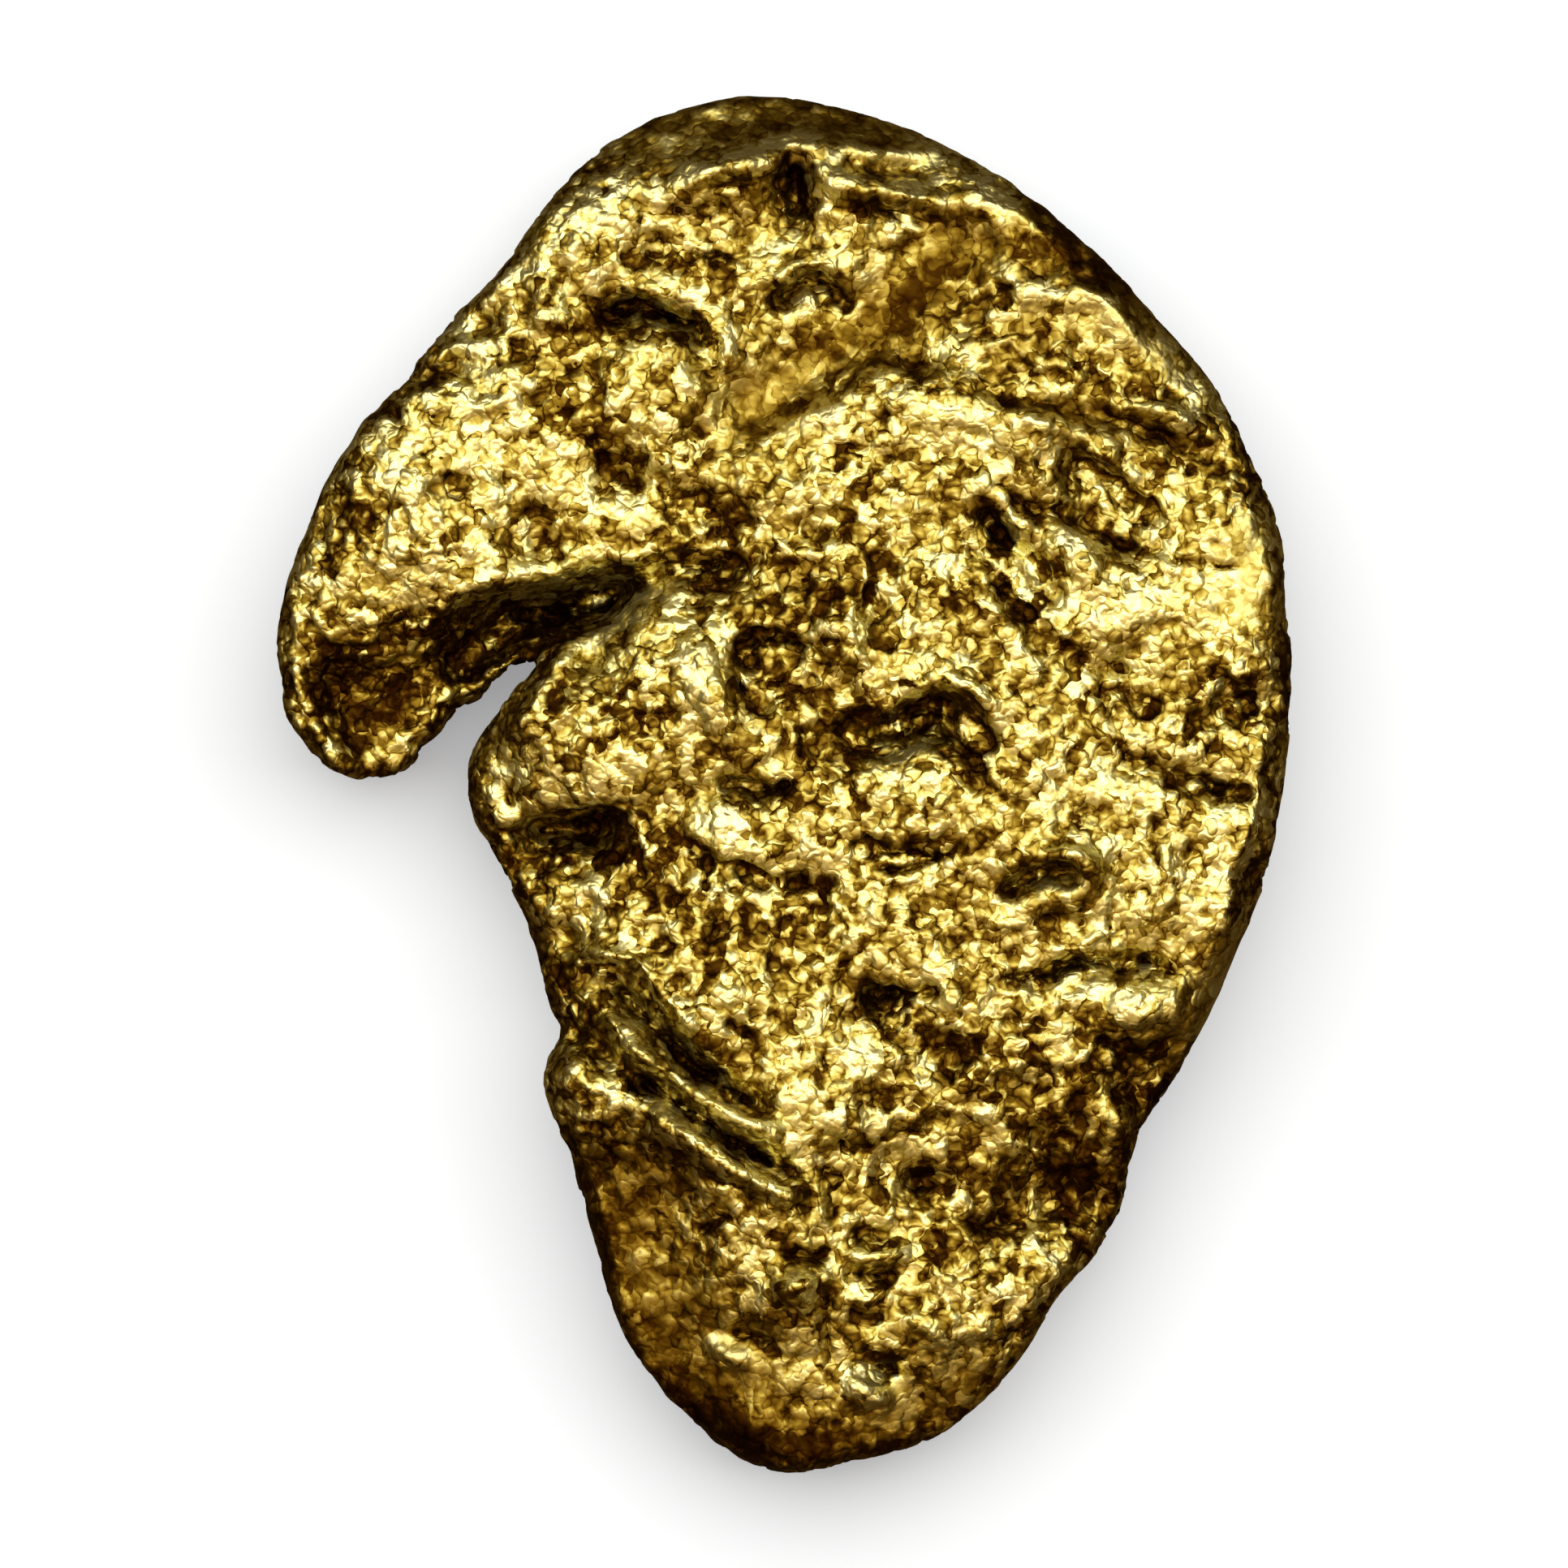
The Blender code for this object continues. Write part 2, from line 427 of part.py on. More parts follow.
def set_down(mesh):
    """Gives the mesh its length, in metres, and puts its box's lowest middle at the origin."""
    corners = np.empty(len(mesh.vertices) * 3)
    mesh.vertices.foreach_get("co", corners)
    low = corners.reshape(-1, 3).min(axis=0)
    high = corners.reshape(-1, 3).max(axis=0)
    middle = Vector(((low[0] + high[0]) / 2, (low[1] + high[1]) / 2, low[2]))
    scale = MM * LENGTH / (high[1] - low[1])
    mesh.transform(Matrix.Scale(scale, 4) @ Matrix.Translation(-middle))


def build_nugget():
    even = modified(slab(), "even", "REMESH", mode="VOXEL", voxel_size=VOXEL)
    sculpt(even)
    triangles = sum(len(face.vertices) - 2 for face in even.polygons)
    mesh = modified(even, "nugget", "DECIMATE", ratio=TRIANGLES / triangles, use_collapse_triangulate=True)
    mesh.name = "nugget"
    set_down(mesh)
    mesh.shade_smooth()
    mesh.materials.append(native_gold())
    nugget = bpy.data.objects.new("nugget", mesh)
    collection = bpy.data.collections.new("gold_nugget")
    bpy.context.scene.collection.children.link(collection)
    collection.objects.link(nugget)


clear_scene()
build_nugget()
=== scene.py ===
import math

import bmesh
import bpy
import numpy as np
from mathutils import Matrix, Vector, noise


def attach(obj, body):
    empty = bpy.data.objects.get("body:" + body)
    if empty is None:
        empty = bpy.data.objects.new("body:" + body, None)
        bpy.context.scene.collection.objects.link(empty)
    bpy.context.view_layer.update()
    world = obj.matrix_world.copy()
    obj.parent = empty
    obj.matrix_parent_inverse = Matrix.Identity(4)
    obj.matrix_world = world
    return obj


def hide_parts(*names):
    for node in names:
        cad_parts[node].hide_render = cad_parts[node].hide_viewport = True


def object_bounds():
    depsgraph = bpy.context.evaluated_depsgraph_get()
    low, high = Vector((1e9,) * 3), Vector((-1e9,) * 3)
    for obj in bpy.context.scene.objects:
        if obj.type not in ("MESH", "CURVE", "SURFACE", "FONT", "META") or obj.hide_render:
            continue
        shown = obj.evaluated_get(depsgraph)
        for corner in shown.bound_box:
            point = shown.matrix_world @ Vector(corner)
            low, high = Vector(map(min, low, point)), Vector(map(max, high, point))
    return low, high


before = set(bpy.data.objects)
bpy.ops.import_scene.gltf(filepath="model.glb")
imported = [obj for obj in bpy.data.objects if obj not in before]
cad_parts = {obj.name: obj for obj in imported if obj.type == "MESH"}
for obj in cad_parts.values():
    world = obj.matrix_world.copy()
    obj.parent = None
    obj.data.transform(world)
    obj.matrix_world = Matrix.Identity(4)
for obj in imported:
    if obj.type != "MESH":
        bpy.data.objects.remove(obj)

cad_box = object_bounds()

# The camera looks straight down on the nugget from a hand's width and a half above it, with a
# long lens, so that its sides hardly show.
FRAME_WIDTH = 0.0276
CAMERA_HEIGHT = 0.30
SENSOR_WIDTH = 36.0
FACE_LEVEL = 0.0018
camera_data = bpy.data.cameras.new("camera")
camera_data.sensor_width = SENSOR_WIDTH
camera_data.lens = SENSOR_WIDTH * CAMERA_HEIGHT / FRAME_WIDTH
camera = bpy.data.objects.new("camera", camera_data)
bpy.context.scene.collection.objects.link(camera)
camera.location = (0, 0, CAMERA_HEIGHT + FACE_LEVEL)
bpy.context.scene.camera = camera

# The table under the nugget is a smooth sheet of white plastic. It glows a little, as the top of
# a light table does, so that the shadow on it stays pale.
TABLE_SIDE = 1.2
TABLE_LEVEL = -0.00002
SHEET_WHITE = (0.93, 0.93, 0.94, 1)
GLOW_WHITE = (0.93, 0.95, 1.0, 1)
GLOW_STRENGTH = 0.30
bpy.ops.object.select_all(action="DESELECT")
bpy.ops.mesh.primitive_plane_add(size=TABLE_SIDE, location=(0, 0, TABLE_LEVEL))
table = bpy.context.object
table.name = "table"
white_sheet = bpy.data.materials.new("white_sheet")
white_sheet.use_nodes = True
sheet_shader = white_sheet.node_tree.nodes["Principled BSDF"]
sheet_shader.inputs["Base Color"].default_value = SHEET_WHITE
sheet_shader.inputs["Roughness"].default_value = 0.9
sheet_shader.inputs["Specular IOR Level"].default_value = 0.1
sheet_shader.inputs["Emission Color"].default_value = GLOW_WHITE
sheet_shader.inputs["Emission Strength"].default_value = GLOW_STRENGTH
table.data.materials.append(white_sheet)
table.visible_glossy = False

# Soft studio light in a dim, warm room: one broad white panel overhead, set back beyond the broad
# end. The warm ceiling, and the warm wall at the near end, show only in the metal.
ROOM_DIMNESS = (0.066, 0.034, 0.008, 1)


def area_light(name, location, width, depth, energy, colour, tilt=0.0):
    bpy.ops.object.light_add(type="AREA", location=location, rotation=(math.radians(tilt), 0, 0))
    light = bpy.context.object
    light.name = name
    light.data.shape = "RECTANGLE"
    light.data.size = width
    light.data.size_y = depth
    light.data.energy = energy
    light.data.color = colour
    return light


area_light("overhead_panel", (0.0, 0.34, 0.60), 1.50, 0.84, 8.5, (0.955, 1.0, 0.985))
ceiling = area_light("ceiling", (0.0, 0.60, 1.00), 3.6, 2.6, 18.0, (1.0, 0.66, 0.25))
ceiling.visible_diffuse = False
front = area_light("front", (0.0, -0.45, 0.50), 1.6, 0.8, 1.5, (1.0, 0.62, 0.22), tilt=42)
front.visible_diffuse = False
room = bpy.data.worlds.new("room")
room.use_nodes = True
room.node_tree.nodes["Background"].inputs["Color"].default_value = ROOM_DIMNESS
bpy.context.scene.world = room
bpy.context.scene.view_settings.view_transform = "Standard"

# The nugget is one lump of native gold. It grew as a rough, spongy sheet, was folded and hammered
# in a river, and is worn smooth on its rims. All its sizes here are in millimetres.
PER_METRE = 1000
WELD_DISTANCE = 0.002
FINE_VOXEL = 0.06
MOST_TRIANGLES = 194000


def apply_modifier(obj, kind, **settings):
    modifier = obj.modifiers.new(kind.lower(), kind)
    for key, value in settings.items():
        setattr(modifier, key, value)
    bpy.ops.object.select_all(action="DESELECT")
    obj.select_set(True)
    bpy.context.view_layer.objects.active = obj
    bpy.ops.object.modifier_apply(modifier=modifier.name)


solid = bpy.data.objects["nugget"]
gold = bpy.data.objects.new("gold_surface", solid.data.copy())
bpy.context.scene.collection.objects.link(gold)
gold.data.transform(solid.matrix_world)
gold.data.transform(Matrix.Scale(PER_METRE, 4))
shape = bmesh.new()
shape.from_mesh(gold.data)
bmesh.ops.remove_doubles(shape, verts=shape.verts, dist=WELD_DISTANCE)
shape.to_mesh(gold.data)
shape.free()
apply_modifier(gold, "SUBSURF", levels=1, render_levels=1)
apply_modifier(gold, "REMESH", mode="VOXEL", voxel_size=FINE_VOXEL)

count = len(gold.data.vertices)
points = np.empty((count, 3))
gold.data.vertices.foreach_get("co", points.reshape(-1))
normals = np.empty((count, 3))
gold.data.vertices.foreach_get("normal", normals.reshape(-1))
edges = np.empty((len(gold.data.edges), 2), dtype=np.int32)
gold.data.edges.foreach_get("vertices", edges.reshape(-1))
neighbours = np.bincount(edges.ravel(), minlength=count)


def put_back(moved):
    gold.data.vertices.foreach_set("co", moved.ravel())
    gold.data.update()


def smooth_step(value, low=0.0, high=1.0):
    value = np.clip((value - low) / (high - low), 0, 1)
    return value * value * (3 - 2 * value)


def relaxed(values, rounds):
    """The values spread evenly over their neighbours, again and again."""
    for _ in range(rounds):
        total = np.bincount(edges[:, 0], values[edges[:, 1]], count)
        total += np.bincount(edges[:, 1], values[edges[:, 0]], count)
        values = 0.5 * values + 0.5 * total / neighbours
    return values


# The coarse relief of the upper face is ironed, so that the strokes below give it its true depth.
IRONING_ROUNDS = 200
IRONED_SHARE = 0.75
ironed = IRONED_SHARE * smooth_step(relaxed(normals[:, 2], IRONING_ROUNDS), 0.70, 0.86)
points[:, 2] += ironed * (relaxed(points[:, 2], IRONING_ROUNDS) - points[:, 2])
put_back(points)
gold.data.vertices.foreach_get("normal", normals.reshape(-1))


def waves(size, shift=0.0):
    """Smooth uneven waves of this size, from about -1 to 1. Another shift gives other waves."""
    moved = points / size + shift
    return np.array([noise.noise(place) for place in moved.tolist()])


# The strokes are laid on slightly wandering coordinates, so that no stroke is ruler-straight.
LONG_WANDER, SHORT_WANDER = 0.18, 0.12
OTHER_WAVES = 31.7
x = points[:, 0] + LONG_WANDER * waves(0.8) + SHORT_WANDER * waves(0.32)
y = points[:, 1] + LONG_WANDER * waves(0.8, OTHER_WAVES) + SHORT_WANDER * waves(0.32, OTHER_WAVES)
ragged = np.exp(0.9 * waves(0.42, 51.3))
facing_up = smooth_step(normals[:, 2], 0.05, 0.45)
rise = np.zeros(count)
# The stain is patina, and on the rims also painted shade.
stain_and_rim_shade = np.zeros(count)
calm = np.zeros(count)
# Soil and painted shade together, both of which darken the tone.
soil_and_shade = np.zeros(count)

# A stroke falls to a third of its height at this share of the width that it is given.
STROKE_SPREAD = 0.55
SOFT_SPREAD = 0.6
CLIFF_SPREAD = 0.75
# Relief that stands up is worn lower than relief that is sunk, and pits are part filled.
RIB_WEAR, BUMP_WEAR, SUNK_WEAR, CLIFF_WEAR = 0.38, 0.42, 0.6, 0.75
PIT_SHARE = 0.6
# Soil and painted shade lost from high ground, and gained by low ground, for each millimetre
# of its height.
SOIL_AND_SHADE_PER_HEIGHT = 7
TAPERED_END = 0.2
CURVE_STEPS = 4


def curve_through(path):
    """The path rounded into a smooth curve through all its points."""
    path = np.array(path, float)
    ends = np.vstack([2 * path[0] - path[1], path, 2 * path[-1] - path[-2]])
    steps = np.linspace(0, 1, CURVE_STEPS, endpoint=False)[:, None]
    smooth = []
    for before, start, end, after in zip(ends, ends[1:], ends[2:], ends[3:]):
        smooth.append(start + 0.5 * steps * (end - before)
                      + steps**2 * (before - 2.5 * start + 2 * end - 0.5 * after)
                      + steps**3 * (-0.5 * before + 1.5 * start - 1.5 * end + 0.5 * after))
    return np.vstack(smooth + [path[-1:]])


def follow(path, reach):
    """The points near a path, with their distance from it, side (+1 left) and taper at its ends."""
    path = curve_through(path)
    low = path.min(axis=0) - reach
    high = path.max(axis=0) + reach
    near = np.nonzero((x > low[0]) & (x < high[0]) & (y > low[1]) & (y < high[1]))[0]
    px, py = x[near], y[near]
    nearest = np.full(len(near), np.inf)
    side = np.zeros(len(near))
    place = np.zeros(len(near))
    gone = 0.0
    for (ax, ay), (bx, by) in zip(path, path[1:]):
        run = math.hypot(bx - ax, by - ay)
        share = np.clip(((px - ax) * (bx - ax) + (py - ay) * (by - ay)) / run**2, 0, 1)
        dx = px - ax - share * (bx - ax)
        dy = py - ay - share * (by - ay)
        distance = np.hypot(dx, dy)
        closer = distance < nearest
        nearest[closer] = distance[closer]
        side[closer] = np.sign((bx - ax) * dy - (by - ay) * dx)[closer]
        place[closer] = (gone + share * run)[closer]
        gone += run
    place = place / gone
    taper = smooth_step(place, 0, TAPERED_END) * smooth_step(1 - place, 0, TAPERED_END)
    return near, nearest, side, taper


def rib(*path, wide, high, polish=None):
    """A raised line, worn clean along its crest. A negative height makes a groove, with soil and
    painted shade.
    """
    near, distance, _, taper = follow(path, 2 * wide)
    profile = taper * np.exp(-((distance * ragged[near]**0.7 / (STROKE_SPREAD * wide)) ** 2))
    rise[near] += (RIB_WEAR if high > 0 else SUNK_WEAR) * high * profile
    soil_and_shade[near] -= (SOIL_AND_SHADE_PER_HEIGHT * high if polish is None else polish) * profile**1.5


def groove(*path, wide, deep):
    rib(*path, wide=wide, high=-deep)


def step(*path, drop, wall, reach, shade=0.6):
    """A small cliff: the ground to the right of the path drops, then rises again slowly. Its foot
    gets a painted shadow.
    """
    near, distance, side, taper = follow(path, 2.5 * reach)
    below = smooth_step(0.5 - side * distance / wall)
    rise[near] -= CLIFF_WEAR * drop * taper * below * np.exp(-((distance / reach) ** 2))
    # The foot of the cliff is darkened: a painted shadow.
    shadow = np.exp(-((distance * ragged[near]**0.5 / (CLIFF_SPREAD * reach)) ** 4))
    soil_and_shade[near] += 2 * shade * taper * below * shadow


def bump(centre, size, high=0.16, turn=0.0):
    """A low oval lump, worn clean. A negative height makes a pit, with soil and painted shade."""
    angle = math.radians(turn)
    dx = x - centre[0]
    dy = y - centre[1]
    along = (dx * math.cos(angle) + dy * math.sin(angle)) / (STROKE_SPREAD * size[0])
    across = (dy * math.cos(angle) - dx * math.sin(angle)) / (STROKE_SPREAD * size[1])
    apart = ragged**1.5 * (along**2 + across**2)
    rise[:] += (BUMP_WEAR if high > 0 else SUNK_WEAR) * high * np.exp(-(apart**1.2))
    soil_and_shade[:] -= SOIL_AND_SHADE_PER_HEIGHT * high * np.exp(-(apart**1.8))


def pit(centre, size, deep, turn=0.0):
    bump(centre, size, -PIT_SHARE * deep, turn)


def soften(*path, wide, amount, brown=0.0):
    """Wears the grain off along a path, and leaves a brown stain there, on the rims also a painted
    shade.
    """
    near, distance, _, taper = follow(path, 2 * wide)
    spread = taper * np.exp(-((distance / (SOFT_SPREAD * wide)) ** 2))
    calm[near] = np.maximum(calm[near], amount * spread)
    stain_and_rim_shade[near] = np.maximum(stain_and_rim_shade[near], brown * spread)


def darken_along(*path, wide, amount):
    """Darkens the tone along a path, or round one point: partly soil, partly painted shade."""
    if len(path) == 1:
        path = (path[0], (path[0][0] + 0.01, path[0][1]))
    near, distance, _, _ = follow(path, 1.5 * wide)
    soil_and_shade[near] += amount * np.exp(-((distance / (SOFT_SPREAD * wide)) ** 2))


def lighten_along(*path, wide, amount):
    """Lightens the tone along a path, or round one point: partly wear, partly painted light."""
    darken_along(*path, wide=wide, amount=-amount)


# Upper left and the root of the arm
bump((-3.55, 10.45), (0.35, 0.3))
bump((-3.1, 10.6), (0.3, 0.3))
rib((-4.4, 9.0), (-4.15, 8.6), (-4.3, 8.2), (-3.7, 8.2), wide=0.25, high=0.2)
pit((-3.85, 8.75), (0.28, 0.5), 0.3)
rib((-5.4, 8.3), (-5.0, 8.7), (-4.6, 9.1), wide=0.25, high=0.15)
pit((-5.2, 8.15), (0.5, 0.22), 0.25)
pit((-4.45, 7.65), (0.6, 0.25), 0.25)
groove((-6.6, 7.2), (-6.0, 7.28), (-5.4, 7.3), wide=0.3, deep=0.28)
pit((-4.5, 6.8), (0.4, 0.3), 0.22)
pit((-3.4, 6.2), (0.7, 0.3), 0.3)
pit((-6.75, 6.4), (0.3, 0.25), 0.2)
pit((-6.15, 6.4), (0.3, 0.25), 0.2)
bump((-5.85, 7.65), (0.35, 0.25), 0.18)
rib((-5.4, 8.0), (-5.3, 7.55), (-4.85, 7.6), (-4.75, 8.15), wide=0.2, high=0.2)
rib((-5.2, 7.3), (-4.85, 7.1), (-4.95, 6.8), (-5.5, 6.4), wide=0.22, high=0.2)
step((-6.9, 6.7), (-6.1, 7.05), (-5.3, 7.1), drop=-0.15, wall=0.2, reach=0.5, shade=-0.2)

# Top end
rib((-3.0, 9.9), (-2.2, 10.35), (-1.2, 10.75), (-0.4, 10.95), (0.1, 11.2), (0.8, 11.2), wide=0.45,
    high=0.2, polish=1.8)
bump((-2.0, 11.35), (0.55, 0.22), 0.14, 25)
bump((-1.2, 11.85), (0.6, 0.16), 0.12, 10)
bump((1.5, 11.45), (0.7, 0.16), 0.12, -15)
rib((0.9, 11.2), (1.5, 11.05), (2.2, 11.0), (2.5, 10.8), wide=0.35, high=0.2, polish=1.6)
rib((0.3, 10.9), (0.8, 10.6), (1.4, 10.4), (2.0, 10.35), (2.6, 10.1), (3.1, 9.9), wide=0.38,
    high=0.22, polish=1.8)
pit((1.9, 10.83), (1.5, 0.3), 0.25, -8)
groove((-0.1, 11.0), (0.08, 10.5), (0.3, 9.85), wide=0.65, deep=0.4)
groove((-1.9, 10.2), (-1.4, 10.45), (-0.6, 10.5), wide=0.3, deep=0.25)
rib((-1.35, 10.1), (-1.1, 9.8), (-0.8, 9.5), wide=0.22, high=0.18)
pit((-2.35, 9.3), (0.7, 0.4), 0.3)
pit((-2.45, 10.2), (0.5, 0.16), 0.2)
groove((-1.65, 9.15), (-1.2, 9.3), (-0.75, 9.3), wide=0.2, deep=0.22)
rib((-0.5, 8.7), (0.1, 9.08), (0.55, 9.28), (1.0, 9.05), (1.6, 8.6), wide=0.3, high=0.16)
step((-0.45, 8.45), (0.1, 8.85), (0.55, 9.08), (0.95, 8.85), (1.5, 8.45), drop=0.45, wall=0.12,
     reach=0.42, shade=1.1)
bump((0.5, 8.5), (0.4, 0.22), 0.2)
bump((1.2, 8.35), (0.35, 0.2), 0.2)
bump((0.7, 8.3), (0.3, 0.18), 0.16)
groove((1.6, 9.2), (2.0, 9.35), (2.4, 9.45), wide=0.15, deep=0.2)
groove((1.3, 10.25), (2.0, 10.18), (2.9, 9.78), wide=0.28, deep=0.25)
step((-3.4, 8.0), (-2.9, 8.45), (-2.2, 8.42), (-1.6, 8.2), (-1.2, 7.7), (-1.0, 7.0), drop=0.5,
     wall=0.12, reach=0.34, shade=1.2)
rib((-3.0, 8.7), (-2.5, 8.75), (-1.8, 8.65), (-1.35, 8.25), (-1.0, 7.75), (-0.85, 7.2), wide=0.55,
    high=0.14, polish=1.6)
pit((-1.65, 7.7), (0.4, 0.3), 0.22)
pit((2.4, 7.5), (0.45, 0.3), 0.28)
rib((2.6, 7.75), (2.9, 7.65), (3.1, 7.4), wide=0.2, high=0.15)
bump((0.6, 6.4), (0.4, 0.2), 0.15)
pit((1.85, 6.4), (0.25, 0.2), 0.22)
pit((1.15, 5.95), (0.5, 0.25), 0.24)

# Upper right
bump((2.8, 10.8), (0.5, 0.4), 0.2)
bump((3.3, 10.6), (0.45, 0.4), 0.2)
bump((3.5, 10.1), (0.5, 0.4), 0.18)
bump((3.8, 9.8), (0.4, 0.35), 0.16)
rib((3.2, 8.6), (3.5, 8.95), (3.9, 8.95), (4.3, 8.6), (4.9, 8.55), (5.4, 8.6), (5.75, 8.2),
    (6.1, 7.6), (6.15, 7.1), wide=0.42, high=0.22, polish=1.8)
rib((2.7, 8.95), (3.2, 8.7), (3.9, 8.8), (4.3, 8.55), wide=0.3, high=0.16)
groove((3.5, 8.68), (3.8, 8.75), (4.1, 8.7), wide=0.16, deep=0.24)
rib((3.5, 7.6), (3.9, 7.75), (4.2, 7.7), wide=0.2, high=0.2)
rib((4.3, 7.3), (4.7, 7.5), (5.1, 7.2), (5.2, 6.95), wide=0.2, high=0.2)
bump((4.3, 6.9), (0.4, 0.2), 0.18)
bump((4.9, 6.9), (0.3, 0.2), 0.15)
rib((5.4, 6.9), (5.8, 6.6), (6.8, 6.5), (7.1, 6.3), (7.4, 5.9), wide=0.35, high=0.2)
groove((3.9, 6.9), (4.4, 6.6), (5.8, 6.4), (7.0, 5.9), (8.1, 5.4), wide=0.26, deep=0.16)
rib((-1.6, 5.2), (-0.8, 5.5), (-0.3, 5.9), (0.3, 6.3), (1.0, 6.6), (1.6, 6.9), wide=0.4, high=0.15)
rib((1.6, 6.95), (3.2, 6.55), (4.0, 6.35), (5.2, 6.2), (6.2, 5.9), wide=0.3, high=0.15)

# Arm and slot
rib((-7.6, 5.6), (-8.1, 4.9), (-8.4, 4.2), (-8.6, 3.6), wide=0.25, high=0.12)
bump((-6.5, 5.3), (0.6, 0.8), 0.18)
pit((-5.75, 5.35), (0.5, 0.25), 0.28)
pit((-4.8, 5.3), (0.45, 0.18), 0.22)
pit((-6.05, 4.1), (0.6, 0.18), 0.22)
pit((-6.7, 4.25), (0.18, 0.4), 0.22)
pit((-6.2, 5.9), (0.5, 0.18), 0.22)
pit((-3.15, 5.75), (0.6, 0.35), 0.25, -40)
pit((-2.7, 5.35), (0.55, 0.4), 0.25, -30)
pit((-4.3, 4.5), (0.3, 0.9), 0.22, 15)
pit((-4.0, 4.05), (0.5, 0.25), 0.2)
rib((-4.0, 4.8), (-3.8, 4.3), (-3.5, 3.8), wide=0.25, high=0.18)
rib((-5.4, 3.62), (-4.5, 3.6), (-3.5, 3.65), (-2.9, 3.8), wide=0.25, high=0.15)
step((-5.1, 3.05), (-4.5, 3.15), (-3.5, 3.2), (-2.8, 3.4), (-2.0, 3.85), drop=0.4, wall=0.12,
     reach=0.4)
groove((-3.2, 3.4), (-2.5, 3.82), (-2.0, 3.97), (-1.4, 3.97), (-0.8, 3.88), (-0.4, 4.2), wide=0.2,
       deep=0.22)
step((-7.1, 2.95), (-6.6, 2.95), (-6.1, 2.88), drop=0.25, wall=0.12, reach=0.3)
rib((-6.9, 2.72), (-6.4, 2.7), (-5.9, 2.6), wide=0.16, high=0.15)
pit((-7.9, 2.3), (0.6, 0.2), 0.18)
rib((-8.2, 1.0), (-7.6, 0.6), (-7.2, 0.6), (-6.7, 0.45), wide=0.16, high=0.12)
bump((-6.1, 1.1), (0.3, 0.2), 0.15)
rib((-3.5, 2.8), (-4.0, 2.1), (-4.2, 1.5), (-4.6, 1.1), (-4.9, 0.7), wide=0.22, high=0.2)
pit((-3.35, 2.2), (0.4, 0.4), 0.22)
rib((-3.75, 2.35), (-3.35, 2.65), (-2.95, 2.35), wide=0.15, high=0.12)

# Centre
rib((-2.6, 6.0), (-2.1, 5.6), (-1.9, 5.25), wide=0.22, high=0.2)
groove((-2.2, 5.6), (-2.05, 5.3), (-2.0, 5.0), wide=0.12, deep=0.22)
pit((-1.3, 4.7), (1.2, 0.6), 0.3)
pit((0.75, 4.5), (1.0, 0.35), 0.3)
rib((-0.4, 4.4), (0.0, 4.1), (0.5, 3.95), (1.1, 4.2), wide=0.22, high=0.2)
pit((1.05, 5.4), (0.35, 0.2), 0.22)
pit((1.95, 5.75), (0.35, 0.2), 0.22)
pit((1.45, 5.2), (0.3, 0.18), 0.2)
pit((1.95, 5.2), (0.3, 0.2), 0.2)
pit((0.0, 3.5), (1.3, 0.6), 0.18)
pit((1.6, 3.2), (0.4, 1.4), 0.25)
rib((1.3, 4.1), (1.4, 3.1), (1.3, 2.9), wide=0.2, high=0.16)
pit((1.15, 3.3), (0.3, 0.4), 0.2)
rib((0.5, 2.9), (0.9, 2.6), (1.2, 2.2), (1.5, 1.9), wide=0.22, high=0.2)
step((-1.1, 2.0), (-0.7, 2.5), (-0.1, 2.8), (0.75, 2.45), drop=0.4, wall=0.15, reach=0.35)
groove((-0.95, 2.0), (-0.6, 1.6), (-0.2, 1.2), wide=0.2, deep=0.25)
rib((-2.0, 2.7), (-1.6, 2.2), (-1.3, 1.5), (-0.9, 1.0), (-0.5, 0.5), (0.0, 0.3), wide=0.9,
    high=0.05, polish=0.9)
step((0.3, 0.4), (0.25, 0.8), (0.3, 1.2), drop=0.25, wall=0.15, reach=0.4)
step((-1.4, 0.1), (-0.8, 0.08), (0.3, 0.02), drop=0.45, wall=0.12, reach=0.3)
step((0.5, 0.9), (1.3, 1.2), (2.0, 1.3), (2.5, 1.55), (2.8, 1.5), (3.05, 1.0), (3.55, 0.35),
     (4.1, -0.35), drop=0.4, wall=0.14, reach=0.5, shade=1.1)
bump((2.9, 1.75), (0.5, 0.3), 0.12)
pit((0.9, 1.0), (0.7, 1.6), 0.15)

# Right
rib((3.2, 5.5), (3.6, 5.1), (4.0, 4.65), (4.4, 4.3), wide=0.2, high=0.22)
rib((4.3, 4.5), (5.0, 4.2), (5.5, 3.5), (6.2, 2.6), wide=0.9, high=0.08, polish=0.5)
step((3.1, 4.8), (3.45, 4.2), (3.75, 3.7), (4.2, 3.1), (4.75, 2.5), (5.5, 1.9), drop=0.25,
     wall=0.12, reach=0.3, shade=0.7)
groove((3.6, 5.4), (4.2, 4.9), (5.2, 4.6), (5.8, 4.3), (6.8, 3.9), wide=0.25, deep=0.18)
step((4.9, 5.95), (5.5, 5.65), (6.4, 5.05), (6.7, 4.5), drop=0.35, wall=0.14, reach=0.35)
rib((5.2, 6.0), (5.8, 5.65), (6.3, 5.1), (6.85, 4.4), wide=0.2, high=0.18)
rib((4.5, 6.0), (4.52, 5.6), (4.5, 5.2), wide=0.18, high=0.16)
rib((3.9, 5.9), (4.2, 5.5), (4.5, 5.2), wide=0.18, high=0.16)
groove((6.6, 3.9), (7.1, 3.78), (7.6, 3.75), (8.1, 3.85), wide=0.12, deep=0.16)
pit((6.75, 3.5), (0.3, 0.12), 0.18)
pit((6.4, 1.5), (0.6, 0.4), 0.22)
pit((7.8, 1.4), (1.2, 0.6), 0.25)
step((7.3, 1.95), (7.7, 2.0), (8.05, 1.7), (8.4, 1.3), drop=0.25, wall=0.15, reach=0.4)
